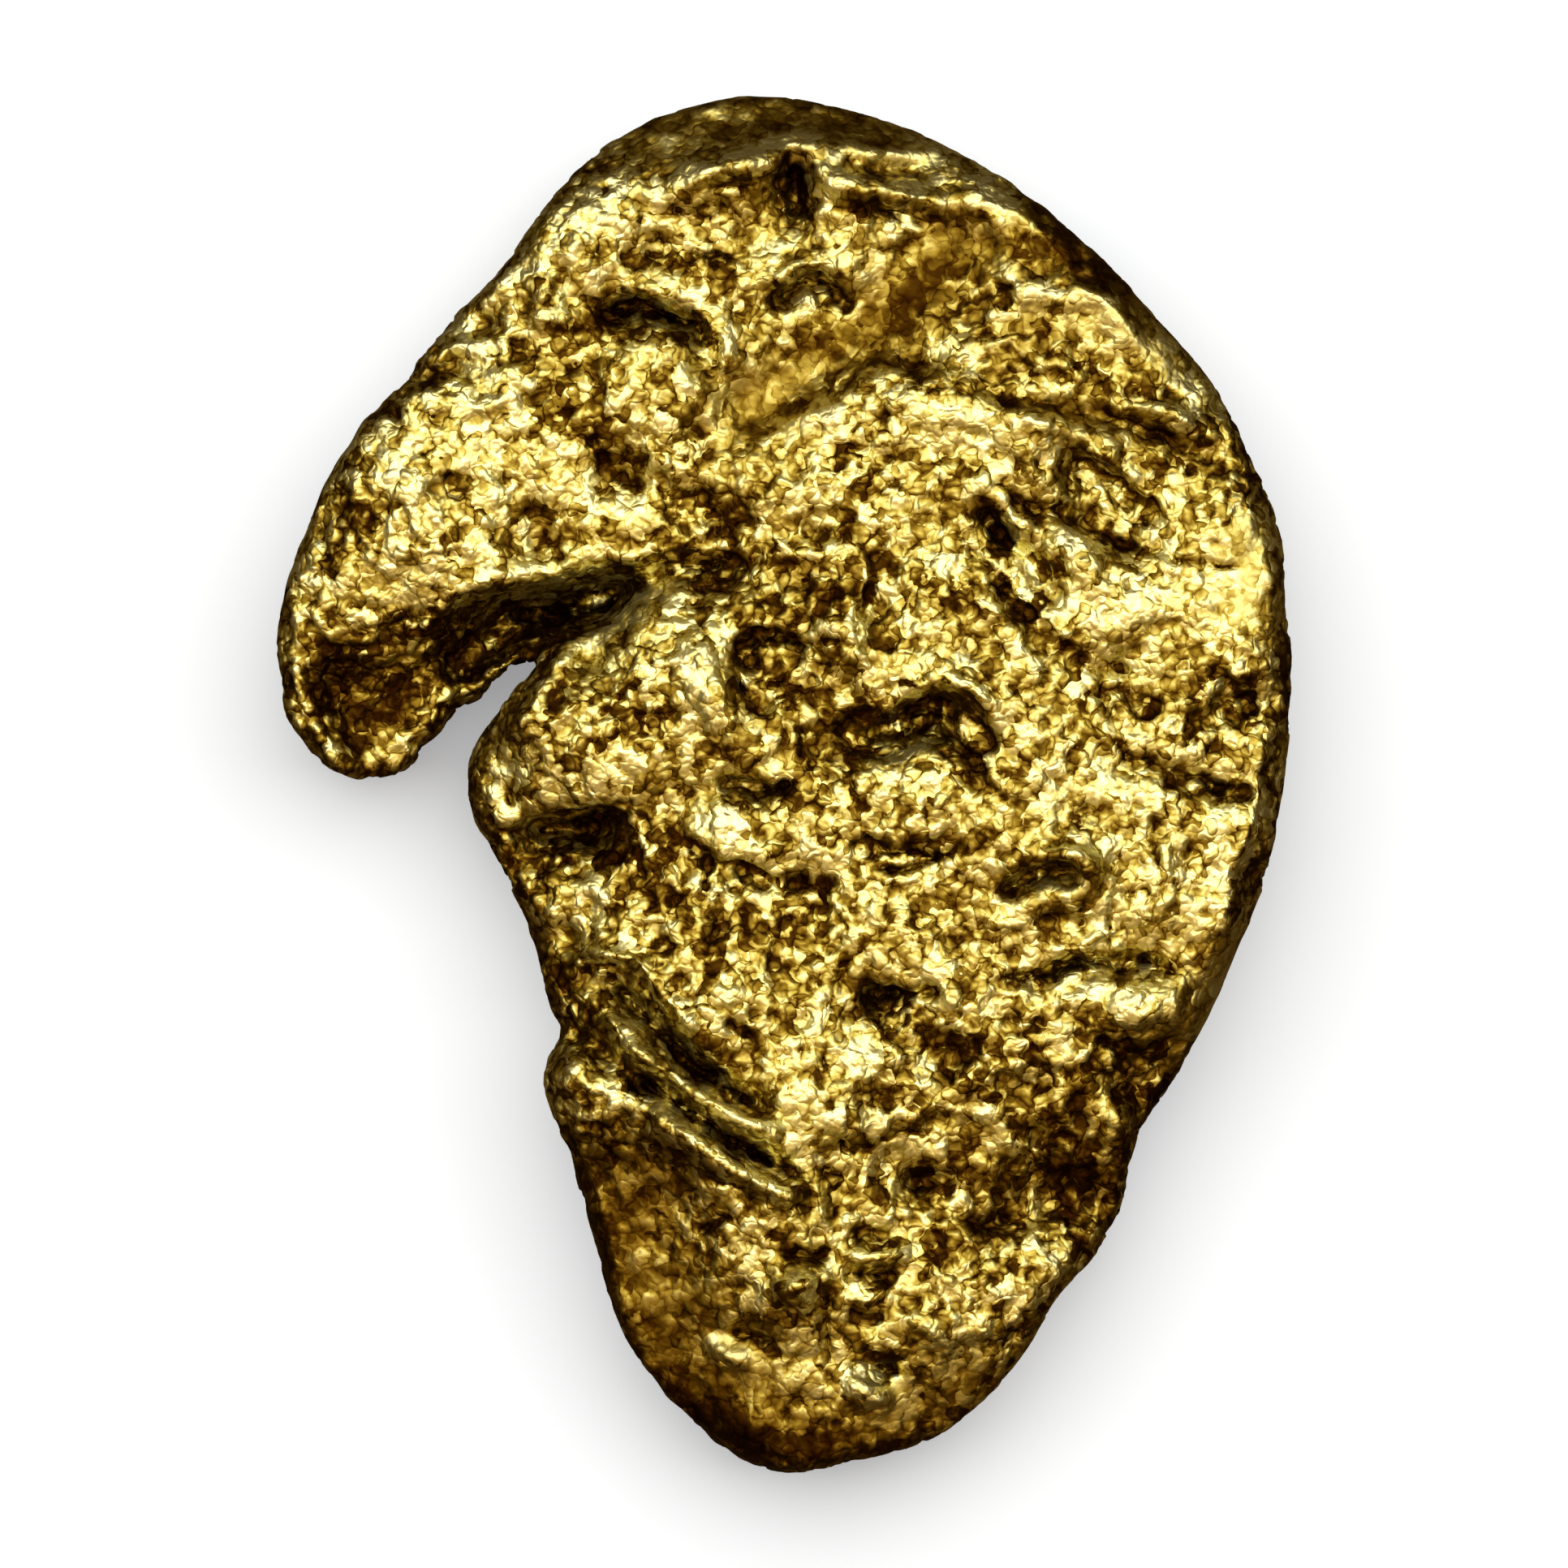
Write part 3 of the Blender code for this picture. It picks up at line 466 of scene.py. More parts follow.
groove((5.6, 0.45), (6.2, 0.45), (6.8, 0.2), (7.4, 0.0), (8.3, -0.2), wide=0.26, deep=0.28)
pit((5.7, 2.1), (0.8, 0.3), 0.22)
pit((4.3, 1.7), (0.6, 0.25), 0.22)
pit((3.6, 3.35), (0.9, 0.25), 0.25)
pit((4.2, 2.95), (0.8, 0.2), 0.22)
pit((5.0, 2.8), (0.3, 0.3), 0.2)
pit((3.6, 4.4), (0.7, 0.5), 0.2)
pit((3.3, 2.35), (0.5, 0.25), 0.22)
pit((4.3, 2.5), (0.4, 0.2), 0.22)

# Left lobe
rib((-5.1, -0.1), (-5.05, -0.3), (-5.0, -0.5), wide=0.14, high=0.14)
pit((-4.85, -0.3), (0.3, 0.6), 0.25)
rib((-4.6, -0.3), (-4.7, -0.8), (-4.95, -0.95), wide=0.18, high=0.16)
step((-4.5, -0.6), (-3.9, -0.5), (-3.3, -0.42), (-2.9, -0.45), drop=0.45, wall=0.15, reach=0.4)
rib((-4.1, -1.5), (-3.8, -1.85), (-3.3, -1.75), (-2.9, -2.1), wide=0.22, high=0.18)
rib((-3.3, -2.3), (-3.25, -2.5), (-3.15, -2.7), wide=0.18, high=0.15)
pit((-3.7, -2.65), (0.5, 0.5), 0.22)
rib((-4.1, -2.0), (-3.95, -2.4), (-4.0, -2.8), wide=0.18, high=0.15)

# Middle, below the lobe's tongue
rib((-1.5, -0.4), (-1.1, -0.85), (-0.6, -1.1), (-0.1, -1.2), wide=0.5, high=0.18)
step((-1.7, -0.85), (-1.15, -1.25), (-0.5, -1.5), (0.15, -1.6), drop=0.25, wall=0.12, reach=0.4,
     shade=0.4)
rib((0.15, -0.5), (0.3, -1.0), (0.4, -1.4), wide=0.2, high=0.15)
step((1.2, -0.95), (2.0, -1.03), (2.9, -1.13), drop=0.22, wall=0.12, reach=0.3)
groove((1.5, -1.5), (2.1, -1.45), (2.5, -1.3), (3.1, -1.15), wide=0.16, deep=0.28)
rib((1.6, -1.15), (2.0, -1.3), (2.4, -1.35), wide=0.16, high=0.15)
rib((1.6, -1.8), (1.5, -2.3), (1.9, -2.5), (2.4, -2.6), (2.6, -2.9), (2.62, -3.2), wide=0.28,
    high=0.18)
pit((2.35, -2.0), (0.5, 0.6), 0.18)
groove((-1.35, -1.2), (-1.3, -1.5), (-1.35, -1.8), wide=0.18, deep=0.22)
rib((-1.6, -1.6), (-1.3, -1.88), (-1.0, -1.9), wide=0.16, high=0.16)
groove((-0.1, -1.7), (0.3, -1.85), (0.7, -2.0), (0.6, -2.4), wide=0.26, deep=0.28)
rib((-3.0, -2.55), (-2.5, -2.4), (-2.0, -2.3), (-1.7, -2.7), (-1.5, -3.0), wide=0.25, high=0.2)
pit((-2.1, -2.8), (0.5, 0.3), 0.22)
pit((-1.2, -2.7), (0.4, 0.35), 0.2)
bump((-0.9, -3.68), (0.7, 0.4), 0.2, -10)
rib((-0.8, -3.8), (-0.6, -4.0), (-0.4, -4.2), wide=0.2, high=0.16)
groove((-1.0, -4.0), (-0.8, -4.2), (-0.5, -4.38), wide=0.16, deep=0.28)
pit((0.3, -4.1), (0.35, 0.3), 0.22)
rib((0.5, -3.3), (0.7, -3.9), (0.5, -4.5), (0.3, -4.8), wide=0.25, high=0.18)
bump((1.2, -4.65), (0.7, 0.45), 0.2)
bump((1.3, -5.05), (0.45, 0.4), 0.16)
bump((1.0, -5.4), (0.45, 0.3), 0.16)
rib((0.35, -5.2), (0.5, -5.5), (0.72, -5.65), wide=0.25, high=0.16)
groove((0.65, -4.65), (0.63, -4.9), (0.68, -5.15), wide=0.15, deep=0.28)
step((1.2, -3.5), (2.0, -3.6), (2.9, -3.55), drop=0.35, wall=0.12, reach=0.3)
pit((1.7, -4.0), (0.8, 0.55), 0.25)
bump((2.5, -3.8), (0.5, 0.2), 0.15)
rib((2.6, -3.0), (2.9, -3.7), (3.0, -4.15), wide=0.28, high=0.15)
rib((1.5, -4.9), (2.1, -4.72), (2.4, -4.3), wide=0.25, high=0.18)
pit((2.8, -4.75), (0.7, 0.7), 0.25)
pit((1.85, -5.5), (0.8, 0.4), 0.25)
bump((0.9, -6.0), (0.5, 0.3), 0.16)
bump((1.4, -6.1), (0.4, 0.25), 0.16)
rib((1.75, -5.65), (1.85, -5.9), (1.8, -6.15), wide=0.2, high=0.15)
bump((2.2, -5.9), (0.35, 0.3), 0.15)

# Right side, below the groove
pit((5.2, -0.5), (0.55, 0.3), 0.28)
rib((8.5, -0.5), (8.2, -1.0), (7.9, -1.4), (7.8, -2.0), (7.6, -2.6), (7.3, -3.0), (7.1, -3.35),
    wide=0.3, high=0.14)
pit((8.2, -1.6), (0.6, 0.6), 0.2)
groove((6.6, -0.4), (6.55, -1.4), (6.5, -2.3), wide=0.18, deep=0.2)
rib((6.85, -0.9), (6.62, -1.5), (6.38, -2.2), (6.4, -2.65), wide=0.18, high=0.16)
bump((7.4, -0.6), (0.8, 0.35), 0.15)
pit((7.6, -0.1), (0.9, 0.25), 0.18)
pit((7.05, -1.1), (0.15, 0.4), 0.18)
rib((4.0, -1.22), (4.8, -1.15), (5.2, -1.25), (5.45, -1.55), (5.85, -1.75), (6.25, -1.55), wide=0.3,
    high=0.07)
step((3.6, -2.05), (4.0, -1.68), (4.3, -1.48), (4.8, -1.42), (5.2, -1.58), drop=0.15, wall=0.1,
     reach=0.22, shade=1.2)
rib((3.5, -2.28), (4.0, -2.48), (4.5, -2.42), wide=0.2, high=0.15)
pit((4.8, -2.42), (0.5, 0.4), 0.25)
rib((4.5, -2.78), (5.0, -2.85), (5.6, -2.65), (6.0, -2.55), wide=0.18, high=0.16)
pit((3.3, -2.7), (0.4, 0.25), 0.22)
pit((5.68, -2.4), (0.22, 0.5), 0.22)
pit((6.2, -1.95), (0.3, 0.25), 0.2)
step((3.5, -3.15), (4.4, -3.28), (4.95, -3.05), (5.4, -3.0), (5.85, -3.2), (6.25, -3.05),
     (6.6, -3.15), (6.95, -3.45), drop=0.42, wall=0.12, reach=0.24, shade=1.0)
bump((6.25, -3.95), (1.0, 0.9), 0.12)
rib((4.4, -3.9), (5.0, -3.85), (5.45, -3.62), (5.6, -3.45), wide=0.2, high=0.18)
rib((4.6, -3.62), (5.0, -3.5), (5.4, -3.35), wide=0.16, high=0.14)
groove((5.3, -4.4), (6.0, -4.75), (6.7, -4.6), (7.0, -4.2), wide=0.3, deep=0.25)
rib((5.55, -4.8), (5.75, -5.0), (5.95, -5.18), wide=0.12, high=0.14)
rib((4.45, -4.3), (4.6, -4.45), (4.45, -4.58), wide=0.12, high=0.14)
rib((3.6, -5.0), (4.0, -4.95), (4.4, -4.8), wide=0.18, high=0.16)
rib((4.6, -4.6), (4.85, -4.8), (5.1, -5.02), wide=0.16, high=0.16)
rib((4.75, -4.45), (5.0, -4.65), (5.3, -4.95), wide=0.14, high=0.14)
pit((4.1, -4.15), (0.6, 0.22), 0.24)
pit((4.05, -3.7), (0.45, 0.14), 0.2)
rib((4.6, -5.4), (4.9, -5.65), (5.2, -5.9), wide=0.16, high=0.14)
rib((5.45, -5.55), (5.75, -5.85), (6.0, -6.12), wide=0.22, high=0.2)
bump((3.1, -5.6), (0.4, 0.35), 0.18)
bump((3.6, -5.7), (0.3, 0.3), 0.16)

# Nub, notch and folds
step((-4.0, -3.25), (-3.7, -3.45), (-3.4, -3.15), (-3.05, -3.08), (-2.65, -3.25), (-2.3, -3.65),
     (-1.9, -4.2), (-1.4, -4.75), drop=0.3, wall=0.2, reach=0.3, shade=0.35)
rib((-4.05, -3.1), (-3.7, -3.38), (-3.4, -3.05), (-3.1, -2.97), (-2.65, -3.1), (-2.25, -3.6),
    wide=0.2, high=0.18)
groove((-3.3, -3.3), (-2.72, -3.72), (-2.4, -4.12), (-2.0, -4.6), (-1.5, -5.02), (-1.0, -5.38),
       (-0.5, -5.7), (0.0, -5.95), wide=0.25, deep=0.35)
rib((-3.4, -3.7), (-2.95, -4.2), (-2.5, -4.72), (-2.0, -5.1), (-1.5, -5.4), (-1.0, -5.65),
    (-0.4, -6.0), (0.2, -6.45), wide=0.3, high=0.3, polish=2.6)
groove((-2.9, -4.9), (-2.3, -5.32), (-2.0, -5.48), (-1.5, -5.82), (-1.0, -6.2), (-0.5, -6.55),
       (0.1, -6.85), (0.6, -7.0), wide=0.2, deep=0.26)
rib((-2.72, -5.3), (-2.4, -5.6), (-2.0, -5.95), (-1.5, -6.3), (-1.0, -6.63), (-0.5, -6.9),
    (0.0, -7.15), (0.6, -7.4), wide=0.34, high=0.3, polish=2.4)
rib((-4.0, -4.75), (-4.1, -5.15), (-3.98, -5.55), (-3.75, -5.83), (-3.3, -5.88), (-2.95, -5.68),
    (-2.85, -5.25), wide=0.16, high=0.2)
bump((-3.7, -5.05), (0.35, 0.4), 0.16)
pit((-3.5, -5.5), (0.35, 0.3), 0.25)
rib((-3.35, -5.35), (-3.34, -5.6), (-3.33, -5.82), wide=0.14, high=0.2)

# Tail
groove((0.8, -6.3), (1.05, -6.32), (1.3, -6.35), wide=0.12, deep=0.24)
groove((0.65, -6.8), (0.85, -6.82), (1.05, -6.92), wide=0.18, deep=0.24)
groove((0.0, -7.4), (0.25, -7.38), (0.55, -7.42), wide=0.16, deep=0.24)
groove((-1.3, -6.95), (-1.0, -7.02), (-0.7, -7.1), wide=0.12, deep=0.18)
groove((-1.5, -7.75), (-1.15, -7.76), (-0.8, -7.7), wide=0.16, deep=0.22)
rib((-1.5, -7.85), (-1.48, -8.0), (-1.4, -8.18), wide=0.14, high=0.14)
bump((0.75, -7.65), (0.32, 0.5), 0.2)
bump((1.3, -7.65), (0.5, 0.3), 0.18, 15)
rib((-0.4, -7.55), (-0.25, -7.75), (-0.1, -7.95), wide=0.2, high=0.18)
bump((2.1, -7.5), (0.45, 0.28), 0.18)
bump((2.4, -7.62), (0.25, 0.18), 0.14)
pit((2.5, -6.9), (0.9, 0.5), 0.25, -20)
rib((2.35, -6.45), (2.65, -6.58), (2.95, -6.8), wide=0.18, high=0.18)
rib((1.0, -8.25), (1.5, -8.28), (2.1, -8.12), wide=0.26, high=0.24)
groove((1.1, -7.87), (1.45, -7.85), (1.8, -7.9), wide=0.16, deep=0.2)
groove((1.0, -8.47), (1.5, -8.58), (2.0, -8.6), wide=0.24, deep=0.24)
rib((1.05, -8.97), (1.45, -8.92), (1.85, -8.95), wide=0.22, high=0.2)
groove((1.15, -9.25), (1.45, -9.32), (1.75, -9.3), wide=0.2, deep=0.2)
rib((-0.3, -8.6), (0.0, -8.76), (0.6, -8.66), wide=0.3, high=0.22)
groove((-0.2, -8.2), (0.3, -8.28), (0.9, -8.3), wide=0.24, deep=0.24)
bump((0.65, -8.5), (0.2, 0.25), 0.16)
pit((-1.05, -8.85), (0.4, 0.3), 0.18)
groove((-0.95, -9.5), (-0.5, -9.65), (-0.05, -9.75), wide=0.26, deep=0.24)
rib((-1.25, -9.78), (-0.95, -10.02), (-0.58, -10.2), wide=0.26, high=0.24)
rib((-0.2, -10.35), (0.2, -10.32), (0.65, -10.4), wide=0.22, high=0.14)
groove((0.8, -8.8), (0.75, -9.4), (0.9, -10.2), wide=0.18, deep=0.2)
rib((2.1, -9.2), (2.5, -9.58), (3.0, -9.92), wide=0.25, high=0.2)
rib((2.55, -8.25), (2.78, -8.65), (2.92, -9.02), wide=0.16, high=0.16)
groove((1.15, -10.1), (1.6, -10.2), (2.1, -10.3), wide=0.28, deep=0.26)
rib((1.05, -10.38), (1.5, -10.72), (1.95, -10.95), wide=0.28, high=0.24)
bump((-2.55, -8.4), (0.32, 0.22), 0.16, 40)

# Lower right
rib((3.75, -6.15), (4.1, -6.3), (4.4, -6.5), (4.65, -6.85), wide=0.16, high=0.18)
rib((5.0, -6.3), (5.2, -6.5), (5.42, -6.72), wide=0.16, high=0.14)
pit((5.1, -7.3), (1.3, 1.0), 0.25)
groove((3.0, -7.7), (3.6, -7.66), (4.2, -7.75), wide=0.28, deep=0.2)
rib((4.35, -8.3), (4.65, -8.5), (4.9, -8.75), wide=0.3, high=0.2)
bump((5.0, -8.4), (0.3, 0.3), 0.16)
rib((3.3, -8.55), (3.6, -8.85), (3.85, -9.15), wide=0.28, high=0.18)
rib((3.15, -9.45), (3.5, -9.6), (3.9, -9.5), wide=0.25, high=0.18)
rib((4.35, -8.75), (4.25, -9.1), (4.1, -9.42), wide=0.22, high=0.15)

# Where the surface is worn smooth, and where it keeps a brown stain: patina, which on the rims is
# also painted shade.
soften((-1.7, 5.6), (-0.5, 6.5), (0.5, 7.35), (1.5, 7.9), (2.0, 8.5), (3.0, 9.25), (4.6, 9.6),
       wide=1.3, amount=0.75, brown=0.9)
soften((-3.4, 10.6), (-2.4, 11.25), (-1.2, 11.6), (0.5, 11.75), (2.0, 11.35), (3.2, 10.9), wide=1.2,
       amount=0.8, brown=0.8)
soften((3.6, 10.7), (5.0, 9.5), (6.4, 8.1), (7.3, 7.0), wide=1.2, amount=0.7, brown=0.8)
soften((3.2, 9.5), (4.4, 9.2), (5.6, 9.1), (6.5, 8.2), wide=0.6, amount=0.5, brown=0.9)
soften((3.4, 8.2), (3.8, 7.7), (4.6, 8.0), (5.4, 7.6), wide=0.9, amount=0.4, brown=0.9)
soften((3.6, 7.1), (4.6, 6.6), (6.0, 6.2), (7.4, 5.7), wide=0.5, amount=0.4, brown=0.8)
soften((-3.0, -5.6), (-2.7, -7.5), (-2.3, -9.0), (-1.6, -10.2), (-0.4, -11.3), (0.9, -11.8),
       wide=2.1, amount=0.75, brown=0.95)
soften((-1.6, -11.3), (0.4, -11.6), (1.8, -11.3), (3.0, -10.7), (4.2, -9.9), wide=0.9, amount=0.6,
       brown=0.8)
soften((7.9, 4.9), (8.1, 3.5), (7.9, 2.6), wide=0.9, amount=0.85)
soften((6.9, -5.0), (7.5, -3.6), (8.1, -2.3), wide=0.7, amount=0.6, brown=0.7)
soften((5.8, -5.0), (5.3, -6.3), (5.0, -7.4), wide=1.4, amount=0.2, brown=0.7)
soften((-8.0, 1.0), (-7.2, 1.3), (-6.2, 1.8), wide=1.2, amount=0.2, brown=0.2)

# Places made darker, and places made lighter, region by region: partly soil and wear, partly
# painted shade and painted light.
# Darker and lighter places: upper left and the root of the arm
darken_along((-3.2, 9.2), (-2.7, 9.15), wide=0.4, amount=1.1)
darken_along((-3.8, 8.05), (-3.3, 8.1), wide=0.4, amount=0.9)
darken_along((-5.6, 7.35), (-5.2, 7.4), wide=0.5, amount=0.9)
darken_along((-4.6, 7.6), (-4.2, 7.2), (-4.05, 6.6), wide=0.6, amount=1.4)
darken_along((-2.5, 5.5), (-3.2, 6.2), (-3.8, 6.8), wide=0.7, amount=0.6)
lighten_along((-3.6, 10.5), wide=0.5, amount=0.9)
lighten_along((-5.0, 8.9), (-4.0, 9.7), (-3.2, 10.2), wide=1.2, amount=1.1)
lighten_along((-3.7, 8.65), (-3.1, 8.85), wide=0.5, amount=2.0)
lighten_along((-6.2, 7.8), (-5.8, 7.4), wide=0.45, amount=1.3)
lighten_along((-5.6, 7.6), wide=0.9, amount=0.3)
lighten_along((-5.8, 7.9), (-5.0, 7.2), wide=1.2, amount=0.9)
lighten_along((-3.9, 6.6), wide=0.5, amount=0.6)

# Darker and lighter places: top end
darken_along((0.2, 11.85), (1.2, 11.8), wide=0.5, amount=0.5)
darken_along((-1.8, 9.1), (-1.4, 9.05), (-0.9, 9.15), wide=0.45, amount=1.6)
darken_along((-1.25, 8.7), wide=0.5, amount=0.8)
darken_along((0.2, 7.9), (0.7, 7.8), wide=0.5, amount=0.5)
darken_along((1.0, 7.7), (1.6, 8.0), wide=0.7, amount=0.5)
darken_along((-1.6, 5.6), (-0.5, 6.5), (0.5, 7.35), (1.5, 7.9), (2.4, 8.6), (3.4, 9.3), wide=1.0,
      amount=0.6)
darken_along((-2.1, 7.2), wide=0.8, amount=0.6)
darken_along((-3.4, 6.2), (-2.9, 5.9), (-2.3, 5.3), wide=0.6, amount=0.4)
lighten_along((0.5, 11.2), (0.9, 11.0), wide=0.5, amount=1.6)
lighten_along((-1.8, 10.7), (-0.9, 10.7), (-0.4, 10.9), wide=0.4, amount=1.6)
lighten_along((0.3, 9.6), wide=0.45, amount=0.7)
lighten_along((-0.9, 9.6), (-0.4, 8.95), wide=0.45, amount=1.1)
lighten_along((-2.2, 7.3), wide=1.2, amount=0.25)
lighten_along((-1.7, 6.9), (-1.2, 6.6), (-0.95, 7.2), wide=0.7, amount=1.2)

# Darker and lighter places: upper right
darken_along((4.3, 9.8), (5.6, 8.9), wide=0.9, amount=0.8)
darken_along((2.4, 9.2), (3.8, 9.3), wide=1.0, amount=0.6)
darken_along((4.0, 9.5), (4.6, 9.25), (5.2, 9.0), wide=0.7, amount=1.1)
darken_along((4.6, 9.5), (5.8, 8.8), wide=0.8, amount=0.4)
darken_along((4.6, 8.5), (5.3, 8.2), wide=0.6, amount=0.5)
darken_along((1.6, 8.15), (2.6, 8.35), (3.6, 8.25), (4.6, 7.8), wide=0.8, amount=1.2)
darken_along((2.6, 8.9), (4.0, 8.1), (5.4, 7.5), (6.4, 7.0), wide=0.8, amount=0.9)
darken_along((4.6, 9.7), (6.6, 8.1), (7.7, 6.7), (8.2, 5.9), wide=0.7, amount=0.7)
darken_along((6.4, 7.5), wide=0.4, amount=0.9)
darken_along((2.7, 7.1), (3.6, 7.05), (4.3, 6.75), wide=0.6, amount=1.2)
darken_along((6.0, 7.0), (6.6, 7.1), wide=0.6, amount=1.2)
darken_along((2.3, 6.2), (3.6, 6.0), wide=1.0, amount=0.5)
lighten_along((2.7, 10.9), (3.4, 10.4), (3.8, 9.9), wide=0.8, amount=2.6)
lighten_along((3.4, 9.9), wide=0.4, amount=1.2)
lighten_along((4.3, 8.3), (5.4, 8.2), wide=0.9, amount=0.8)
lighten_along((2.6, 7.6), (3.1, 7.5), wide=0.5, amount=2.2)
lighten_along((6.2, 8.0), (7.2, 6.8), wide=1.0, amount=1.0)
lighten_along((6.8, 7.8), (7.2, 7.3), (7.6, 6.9), wide=0.5, amount=1.5)
lighten_along((6.0, 6.3), wide=0.7, amount=0.4)
lighten_along((6.3, 6.5), (7.3, 6.1), wide=0.4, amount=1.1)
lighten_along((2.4, 6.2), (3.6, 6.0), wide=1.1, amount=0.9)

# Darker and lighter places: arm and slot
darken_along((-5.55, 5.3), (-5.2, 5.0), wide=0.45, amount=0.9)
darken_along((-7.9, 5.3), (-7.7, 4.2), wide=1.0, amount=0.9)
darken_along((-6.7, 4.5), (-6.0, 4.4), wide=0.9, amount=0.6)
darken_along((-5.5, 2.7), (-4.8, 2.75), (-4.1, 2.8), (-3.4, 3.1), wide=1.0, amount=1.8)
darken_along((-7.0, 2.5), (-6.0, 2.6), wide=0.8, amount=0.8)
darken_along((-7.2, 1.8), (-6.6, 1.8), wide=0.8, amount=0.6)
darken_along((-7.6, 1.4), (-6.4, 1.9), wide=1.2, amount=0.75)
darken_along((-8.0, 1.3), (-7.2, 1.4), (-6.2, 1.9), wide=1.7, amount=1.5)
darken_along((-3.5, 1.4), wide=0.6, amount=0.9)
darken_along((-3.9, 1.3), (-3.2, 1.0), (-2.6, 1.6), wide=0.8, amount=0.6)
darken_along((-3.6, 1.0), wide=1.4, amount=0.6)
darken_along((-3.9, 0.9), (-3.0, 0.9), wide=1.0, amount=0.3)
lighten_along((-2.5, 6.0), (-3.1, 5.35), wide=0.5, amount=1.2)
lighten_along((-6.6, 7.0), (-7.4, 6.0), (-8.0, 5.0), (-8.4, 4.2), wide=0.4, amount=0.9)
lighten_along((-6.6, 5.0), (-5.2, 5.6), (-4.0, 5.6), wide=1.4, amount=0.5)
lighten_along((-5.0, 5.3), (-4.0, 5.4), wide=1.0, amount=0.35)
lighten_along((-4.8, 4.2), wide=0.5, amount=0.9)
lighten_along((-4.5, 3.6), (-3.0, 3.7), wide=0.4, amount=2.2)
lighten_along((-6.6, 3.55), (-5.9, 3.2), (-5.4, 2.95), wide=0.6, amount=2.6)
lighten_along((-5.6, 3.2), (-3.2, 3.3), wide=0.3, amount=1.0)
lighten_along((-3.4, 2.0), (-3.1, 2.6), (-2.3, 3.25), wide=0.6, amount=2.2)
lighten_along((-4.0, 1.7), (-4.6, 1.0), (-4.7, 0.0), (-4.45, -0.5), wide=0.5, amount=1.8)

# Darker and lighter places: centre
darken_along((0.4, 5.6), (1.4, 5.6), wide=1.1, amount=0.8)
darken_along((1.1, 5.6), (1.5, 5.3), wide=0.5, amount=0.7)
darken_along((-1.4, 4.7), wide=0.8, amount=0.4)
darken_along((-1.9, 4.4), (-1.4, 4.5), wide=0.5, amount=1.1)
darken_along((-1.8, 4.2), (-1.2, 4.8), wide=0.6, amount=0.3)
darken_along((0.1, 3.95), (0.6, 3.5), wide=0.6, amount=1.0)
darken_along((0.0, 3.5), wide=0.8, amount=0.5)
darken_along((0.0, 3.5), wide=1.3, amount=0.5)
darken_along((2.6, 3.4), (3.3, 3.3), wide=0.6, amount=1.0)
darken_along((0.0, 1.95), wide=1.5, amount=1.3)
darken_along((-0.85, 1.9), (-0.4, 1.5), wide=0.4, amount=0.8)
darken_along((-2.5, 1.9), (-2.5, 1.3), (-1.8, 0.95), wide=0.5, amount=0.8)
darken_along((0.9, 0.7), (1.6, 0.95), (2.4, 1.2), (3.1, 0.9), (3.5, 0.5), wide=0.6, amount=1.0)
darken_along((0.6, 0.55), (1.1, 0.15), wide=0.7, amount=1.3)
lighten_along((-1.8, 5.25), (-0.9, 5.4), (-0.4, 5.7), wide=0.5, amount=1.0)
lighten_along((0.3, 5.3), (1.3, 5.6), wide=1.3, amount=0.15)
lighten_along((-0.6, 4.7), wide=0.5, amount=0.7)
lighten_along((-2.9, 3.6), (-2.2, 3.8), wide=0.5, amount=0.5)
lighten_along((-2.1, 2.4), (-1.3, 1.6), (-0.7, 0.7), wide=0.8, amount=0.8)
lighten_along((2.6, 1.1), (3.0, 0.9), wide=0.6, amount=0.7)
lighten_along((1.8, 0.65), (2.3, 0.6), wide=0.5, amount=1.5)
lighten_along((-1.3, 0.65), (-0.8, 0.35), (-0.2, 0.4), wide=0.6, amount=2.5)

# Darker and lighter places: right
darken_along((6.6, 5.7), (7.3, 5.4), (8.2, 5.2), wide=0.4, amount=1.4)
darken_along((5.4, 5.1), (5.9, 4.7), wide=0.5, amount=0.8)
darken_along((7.8, 4.7), wide=0.8, amount=0.3)
darken_along((7.7, 4.4), (8.1, 3.8), wide=0.7, amount=1.5)
darken_along((3.6, 4.5), (3.6, 3.3), wide=0.9, amount=0.4)
darken_along((4.3, 2.7), (4.8, 2.6), wide=0.5, amount=0.9)
darken_along((5.6, 1.6), (6.4, 1.5), (7.1, 1.3), wide=0.7, amount=1.1)
darken_along((7.4, 0.8), (8.2, 0.6), wide=0.5, amount=0.9)
lighten_along((5.0, 5.75), (5.8, 5.6), wide=0.4, amount=0.9)
lighten_along((4.3, 5.9), (4.5, 5.3), wide=0.5, amount=0.9)
lighten_along((3.6, 4.8), wide=0.4, amount=1.0)
lighten_along((4.1, 3.4), (4.5, 3.9), (4.9, 4.2), wide=0.6, amount=1.8)
lighten_along((4.9, 4.0), (5.9, 3.6), wide=0.6, amount=0.9)
lighten_along((7.7, 4.7), (8.0, 2.6), wide=1.2, amount=0.6)
lighten_along((5.0, 4.0), (6.2, 3.0), wide=1.2, amount=1.0)
lighten_along((4.9, 2.0), (5.4, 2.4), wide=0.5, amount=1.0)
lighten_along((8.15, 1.8), wide=0.5, amount=1.9)

